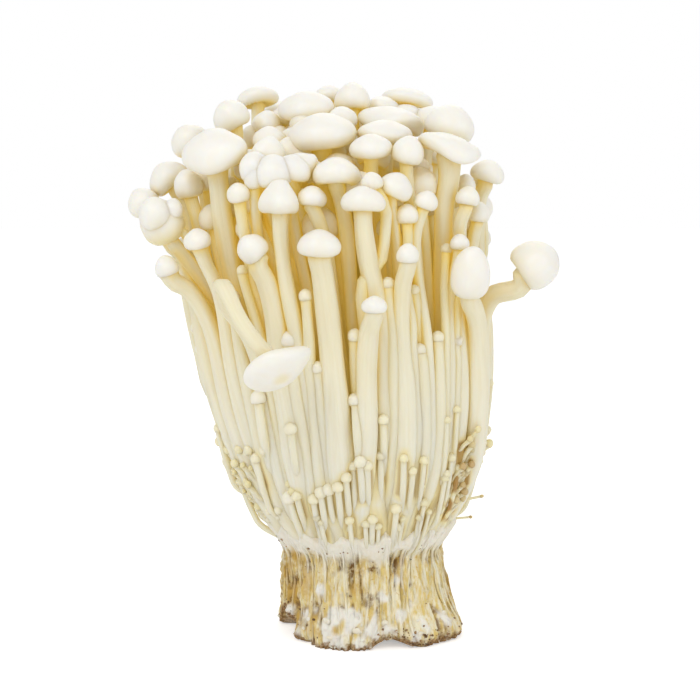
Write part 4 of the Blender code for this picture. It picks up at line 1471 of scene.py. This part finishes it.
class ENOKI_OT_strands(bpy.types.Operator):
    """Lay thin strands over the foot, and white threads in tufts at its bottom edge"""

    bl_idname = "enoki.strands"
    bl_label = "Strands and Threads"

    def execute(self, context):
        sizes = context.scene.enoki_sizes
        shape = FootShape(Outline(sizes))
        chance = random.Random(31)
        work = bmesh.new()
        for _ in range(sizes.strands):
            self.add_strand(work, shape, chance)
        for _ in range(sizes.tufts):
            self.add_tuft(work, shape, chance)
        mesh = bpy.data.meshes.new("foot_strands")
        work.to_mesh(mesh)
        work.free()
        add_piece("foot_strands", mesh, material_named("enoki_foot", foot_material))
        return {"FINISHED"}

    def add_strand(self, work, shape, chance):
        """One strand: a tapered tube that wanders up the foot's side, half sunk in it."""
        blank = Blank.of(6, STRAND_RINGS)
        turn = chance.uniform(0, math.tau)
        start = 0.9 * chance.random() ** 1.4
        shares = np.linspace(start, min(1.0, start + chance.uniform(0.2, 0.7)), STRAND_RINGS)
        drift = chance.uniform(-0.12, 0.12)
        phase = chance.uniform(0, math.tau)
        white = chance.choice((0, 0, 0.15, 0.4))
        line, looks = [], []
        for share in shares:
            here = turn + drift * (share - start) + 0.02 * math.sin(9 * share + phase)
            radius, height, (deep, pale, stain_and_shade, soil_and_shadow) = shape.point(here, float(share))
            line.append((radius * math.cos(here), radius * math.sin(here), height))
            # A strand takes some of the painted crevice shade of the side beneath it
            looks.append((0.7 * deep, max(pale, white), stain_and_shade, soil_and_shadow))
        line, looks = np.array(line), np.array(looks)
        for _ in range(2):
            line[1:-1, :2] = (line[:-2, :2] + line[1:-1, :2] + line[2:, :2]) / 3
        side, front, _ = carried_frames(line)
        taper = np.sin(np.linspace(0.15, 0.93, STRAND_RINGS) * math.pi) ** 0.5
        width = chance.uniform(0.15, 0.42) * taper
        out = (width[blank.ring] * blank.out)[:, None]
        facing = side[blank.ring] * np.cos(blank.turn)[:, None]
        facing += front[blank.ring] * np.sin(blank.turn)[:, None]
        places = line[blank.ring] + facing * out
        mesh = blank.mesh.copy()
        mesh.vertices.foreach_set("co", (places * MM).ravel())
        mesh.attributes["parts"].data.foreach_set("color", looks[blank.ring].ravel())
        mesh.attributes.remove(mesh.attributes["grain"])
        work.from_mesh(mesh)
        bpy.data.meshes.remove(mesh)

    def add_tuft(self, work, shape, chance):
        """One tuft of white threads, a soft lump pressed onto the bottom edge."""
        turn = math.radians(chance.gauss(-95, 48))
        radius, height, _ = shape.point(turn, 0.26 * chance.random() ** 1.5)
        size = chance.uniform(0.4, 0.9)
        parts = work.verts.layers.float_color["parts"]
        made = bmesh.ops.create_icosphere(work, subdivisions=2, radius=size * MM)["verts"]
        away = chance.uniform(0, 90)
        for vert in made:
            spot = vert.co / MM * 1.3 + Vector((away, 0, 0))
            vert.co *= 1 + 0.45 * noise.noise(spot)
            vert[parts] = TUFT_LOOKS
        place = sideways(turn) * (radius - 0.1 * size) + Vector((0, 0, max(height, 1.2 * size)))
        bmesh.ops.scale(work, vec=(0.4, 1.3, 0.9), verts=made)
        bmesh.ops.rotate(work, cent=(0, 0, 0), matrix=Matrix.Rotation(turn, 3, "Z"), verts=made)
        bmesh.ops.translate(work, vec=place * MM, verts=made)


class ENOKI_OT_pins(bpy.types.Operator):
    """Dot the collar and the sides with pinheads"""

    bl_idname = "enoki.pins"
    bl_label = "Pins"

    def execute(self, context):
        sizes = context.scene.enoki_sizes
        outline = Outline(sizes)
        chance = random.Random(23)
        groups = {}
        for number in range(sizes.pins):
            turn, height, warmth = self.spot(number, chance)
            cap = chance.uniform(1.0, 2.3)
            length = chance.uniform(1.2, 4.5)
            tilt = chance.uniform(0.25, 0.8)
            growth = groups.setdefault(int(turn / math.tau % 1 * PIN_GROUPS), Growth())
            pin = Pin(turn, height, cap, length, tilt, warmth)
            self.add(growth, outline, pin, SEEDS["pins"] + number)
        dried = list(self.dried_group(chance))
        for number, pin in enumerate(dried):
            self.add(groups[PIN_GROUPS - 1], outline, pin, SEEDS["dried"] + number)
        shade_and_stain_flesh([self.seat(outline, pin) for pin in dried], DRIED_STAIN)
        for number, pin in enumerate(LOOSE_PINS):
            self.add(groups[PIN_GROUPS - 1], outline, pin, SEEDS["pins"] + sizes.pins + number)
        material = material_named("enoki_flesh", flesh_material)
        for group, growth in sorted(groups.items()):
            growth.finish(f"pins_{group + 1}", material)
        return {"FINISHED"}

    def dried_group(self, chance):
        """Brown pins that stand together in a hollow at the right."""
        for _ in range(DRIED_PINS):
            height = 30 + 18 * chance.random()
            turn = math.radians(DRIED_TURN - 0.3 * (height - 40) + chance.gauss(0, 2.5))
            cap, length = chance.uniform(0.9, 1.9), chance.uniform(1.5, 4)
            tilt, warmth = chance.uniform(0.2, 0.7), chance.uniform(1.0, 1.9)
            yield Pin(turn, height, cap, length, tilt, warmth, DRIED_PROUD)

    def seat(self, outline, pin):
        """Where a pin stands on the outside of the bunch, a little further out low on the left."""
        sides = np.array([math.cos(pin.turn), math.sin(pin.turn)])
        low_left = max(0.0, -sides[0]) * ease(45, 32, pin.height)
        reach = PIN_REACH + 0.08 * low_left + pin.proud
        return np.array([*outline.place(sides * reach, pin.height), pin.height])

    def add(self, growth, outline, pin, seed):
        """Grows a pin that leans out of the bunch and bends up."""
        chance = random.Random(seed)
        out = np.array([math.cos(pin.turn), math.sin(pin.turn) * outline.roundness, 0.0])
        lean = unit(out * pin.tilt + [0, 0, 1.0])
        shares = np.array([0, 0.35, 0.7, 1.0])
        line = self.seat(outline, pin) + lean * pin.length * shares[:, None]
        line[:, :2] += out[:2] * (shares**2)[:, None] * 0.9
        caps, cap_radii = cap_stations(line[-1], lean, pin.cap, pin.cap * PIN_TALL)
        radii = np.full(len(line), pin.cap * chance.uniform(0.28, 0.4))
        line, radii = np.vstack([line, caps]), np.concatenate([radii, cap_radii])
        growth.add(*shape_mushroom(line, radii, PIN, seed, Tint(pin.warmth)))

    def spot(self, number, chance):
        """Where a pin grows, and how dry it is: two thirds of them stand on either side."""
        warmth = chance.uniform(0.5, 1.1)
        height = PIN_LOWEST + PIN_RANGE * chance.random() ** 1.5
        side = number % 6 // 2
        if side < len(PIN_SIDES):
            middle, spread = PIN_SIDES[side]
            turn = middle + chance.gauss(0, spread)
        else:
            turn = chance.uniform(0, 360)
        return math.radians(turn), height, warmth


class ENOKI_OT_crumbs(bpy.types.Operator):
    """Scatter grains of the growing medium over the foot"""

    bl_idname = "enoki.crumbs"
    bl_label = "Crumbs"

    def execute(self, context):
        sizes = context.scene.enoki_sizes
        shape = FootShape(Outline(sizes))
        chance = random.Random(41)
        work = bmesh.new()
        for number in range(sizes.crumbs):
            turn, share = self.spot(number, chance)
            radius, height, _ = shape.point(turn, share)
            size = chance.uniform(0.12, 0.45)
            place = sideways(turn) * radius + Vector((0, 0, max(height, size * CRUMB_LIFT)))
            made = bmesh.ops.create_icosphere(work, subdivisions=1, radius=size * MM)["verts"]
            for vert in made:
                vert.co *= chance.uniform(0.75, 1.3)
            stretch = Vector((1, chance.uniform(0.5, 1), chance.uniform(0.4, 1)))
            bmesh.ops.scale(work, vec=stretch, verts=made)
            spin = Vector([chance.uniform(-1, 1) for _ in range(3)]).to_track_quat("Z", "Y")
            bmesh.ops.rotate(work, cent=(0, 0, 0), matrix=spin.to_matrix(), verts=made)
            bmesh.ops.translate(work, vec=place * MM, verts=made)
        mesh = bpy.data.meshes.new("crumbs")
        work.to_mesh(mesh)
        work.free()
        add_piece("crumbs", mesh, material_named("growing_medium", crumb_material))
        return {"FINISHED"}

    def spot(self, number, chance):
        """Where a grain sticks: at the bottom in two places, under the collar, or anywhere low."""
        kind = number % 5
        if kind < 3:
            middle, spread, rise = CRUMB_HEAPS[kind // 2]
            return math.radians(chance.gauss(middle, spread)), 0.02 + rise * chance.random() ** 2
        if kind < 4:
            return chance.uniform(0, math.tau), chance.uniform(0.58, 0.8)
        return chance.uniform(0, math.tau), 0.7 * chance.random() ** 2


class ENOKI_OT_gaps(bpy.types.Operator):
    """Mark how deep inside the bunch each part of the flesh is, for its painted golden shade and glow"""

    bl_idname = "enoki.gaps"
    bl_label = "Deep Flesh"

    def execute(self, context):
        tree = grown_tree()
        for piece in bpy.data.objects:
            if piece.type == "MESH" and "grain" in piece.data.attributes:
                self.mark(piece.data, tree)
        return {"FINISHED"}

    def mark(self, mesh, tree):
        """Writes how much flesh stands close in front of each point, smoothed over the surface: how much
        painted shade it gets.
        """
        count = len(mesh.vertices)
        places, normals, parts = np.empty(count * 3), np.empty(count * 3), np.empty(count * 4)
        mesh.vertices.foreach_get("co", places)
        mesh.vertices.foreach_get("normal", normals)
        mesh.attributes["parts"].data.foreach_get("color", parts)
        places, normals, parts = places.reshape(-1, 3), normals.reshape(-1, 3), parts.reshape(-1, 4)
        reach = GAP_REACH * MM
        closeness = np.zeros(count)
        starts = places + normals * GAP_CLEAR * MM
        for way in RAYS:
            aims = unit(normals * 1.15 + way)
            for number, (start, aim) in enumerate(zip(starts, aims)):
                distance = tree.ray_cast(start, aim, reach)[3]
                if distance is not None:
                    closeness[number] += 1 - 0.6 * distance / reach
        closeness /= len(RAYS)
        edges = np.empty(len(mesh.edges) * 2, int)
        mesh.edges.foreach_get("vertices", edges)
        edges = edges.reshape(-1, 2)
        near = np.bincount(edges.ravel(), minlength=count)
        for _ in range(3):
            around = np.bincount(edges[:, 0], closeness[edges[:, 1]], count)
            around += np.bincount(edges[:, 1], closeness[edges[:, 0]], count)
            closeness = 0.4 * closeness + 0.6 * around / np.maximum(near, 1)
        parts[:, 0] = closeness
        mesh.attributes["parts"].data.foreach_set("color", parts.ravel())


class ENOKI_PT_panel(bpy.types.Panel):
    """The sizes, the colours and the buttons, in the 3D view's sidebar"""

    bl_idname = "ENOKI_PT_panel"
    bl_label = "Enoki Bunch"
    bl_space_type = "VIEW_3D"
    bl_region_type = "UI"
    bl_category = "Enoki"

    def draw(self, context):
        for group in (context.scene.enoki_sizes, context.scene.enoki_colours):
            for name in group.__annotations__:
                self.layout.prop(group, name)
        for operator in OPERATORS:
            self.layout.operator(operator.bl_idname)


OPERATORS = (
    ENOKI_OT_stage, ENOKI_OT_large, ENOKI_OT_buds, ENOKI_OT_slim, ENOKI_OT_foot,
    ENOKI_OT_strands, ENOKI_OT_young, ENOKI_OT_pins, ENOKI_OT_crumbs, ENOKI_OT_gaps,
)
CLASSES = (EnokiSizes, EnokiColours, *OPERATORS, ENOKI_PT_panel)


def register():
    for each in CLASSES:
        bpy.utils.register_class(each)
    bpy.types.Scene.enoki_sizes = PointerProperty(type=EnokiSizes)
    bpy.types.Scene.enoki_colours = PointerProperty(type=EnokiColours)


def unregister():
    del bpy.types.Scene.enoki_colours
    del bpy.types.Scene.enoki_sizes
    for each in reversed(CLASSES):
        bpy.utils.unregister_class(each)


def main():
    register()
    bpy.ops.enoki.stage()
    bpy.ops.enoki.large()
    bpy.ops.enoki.buds()
    bpy.ops.enoki.slim()
    bpy.ops.enoki.foot()
    bpy.ops.enoki.strands()
    bpy.ops.enoki.young()
    bpy.ops.enoki.pins()
    bpy.ops.enoki.crumbs()
    bpy.ops.enoki.gaps()
    [[list(corner) for corner in box] for box in (CAD_BOX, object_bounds())]


if __name__ == "__main__":
    main()
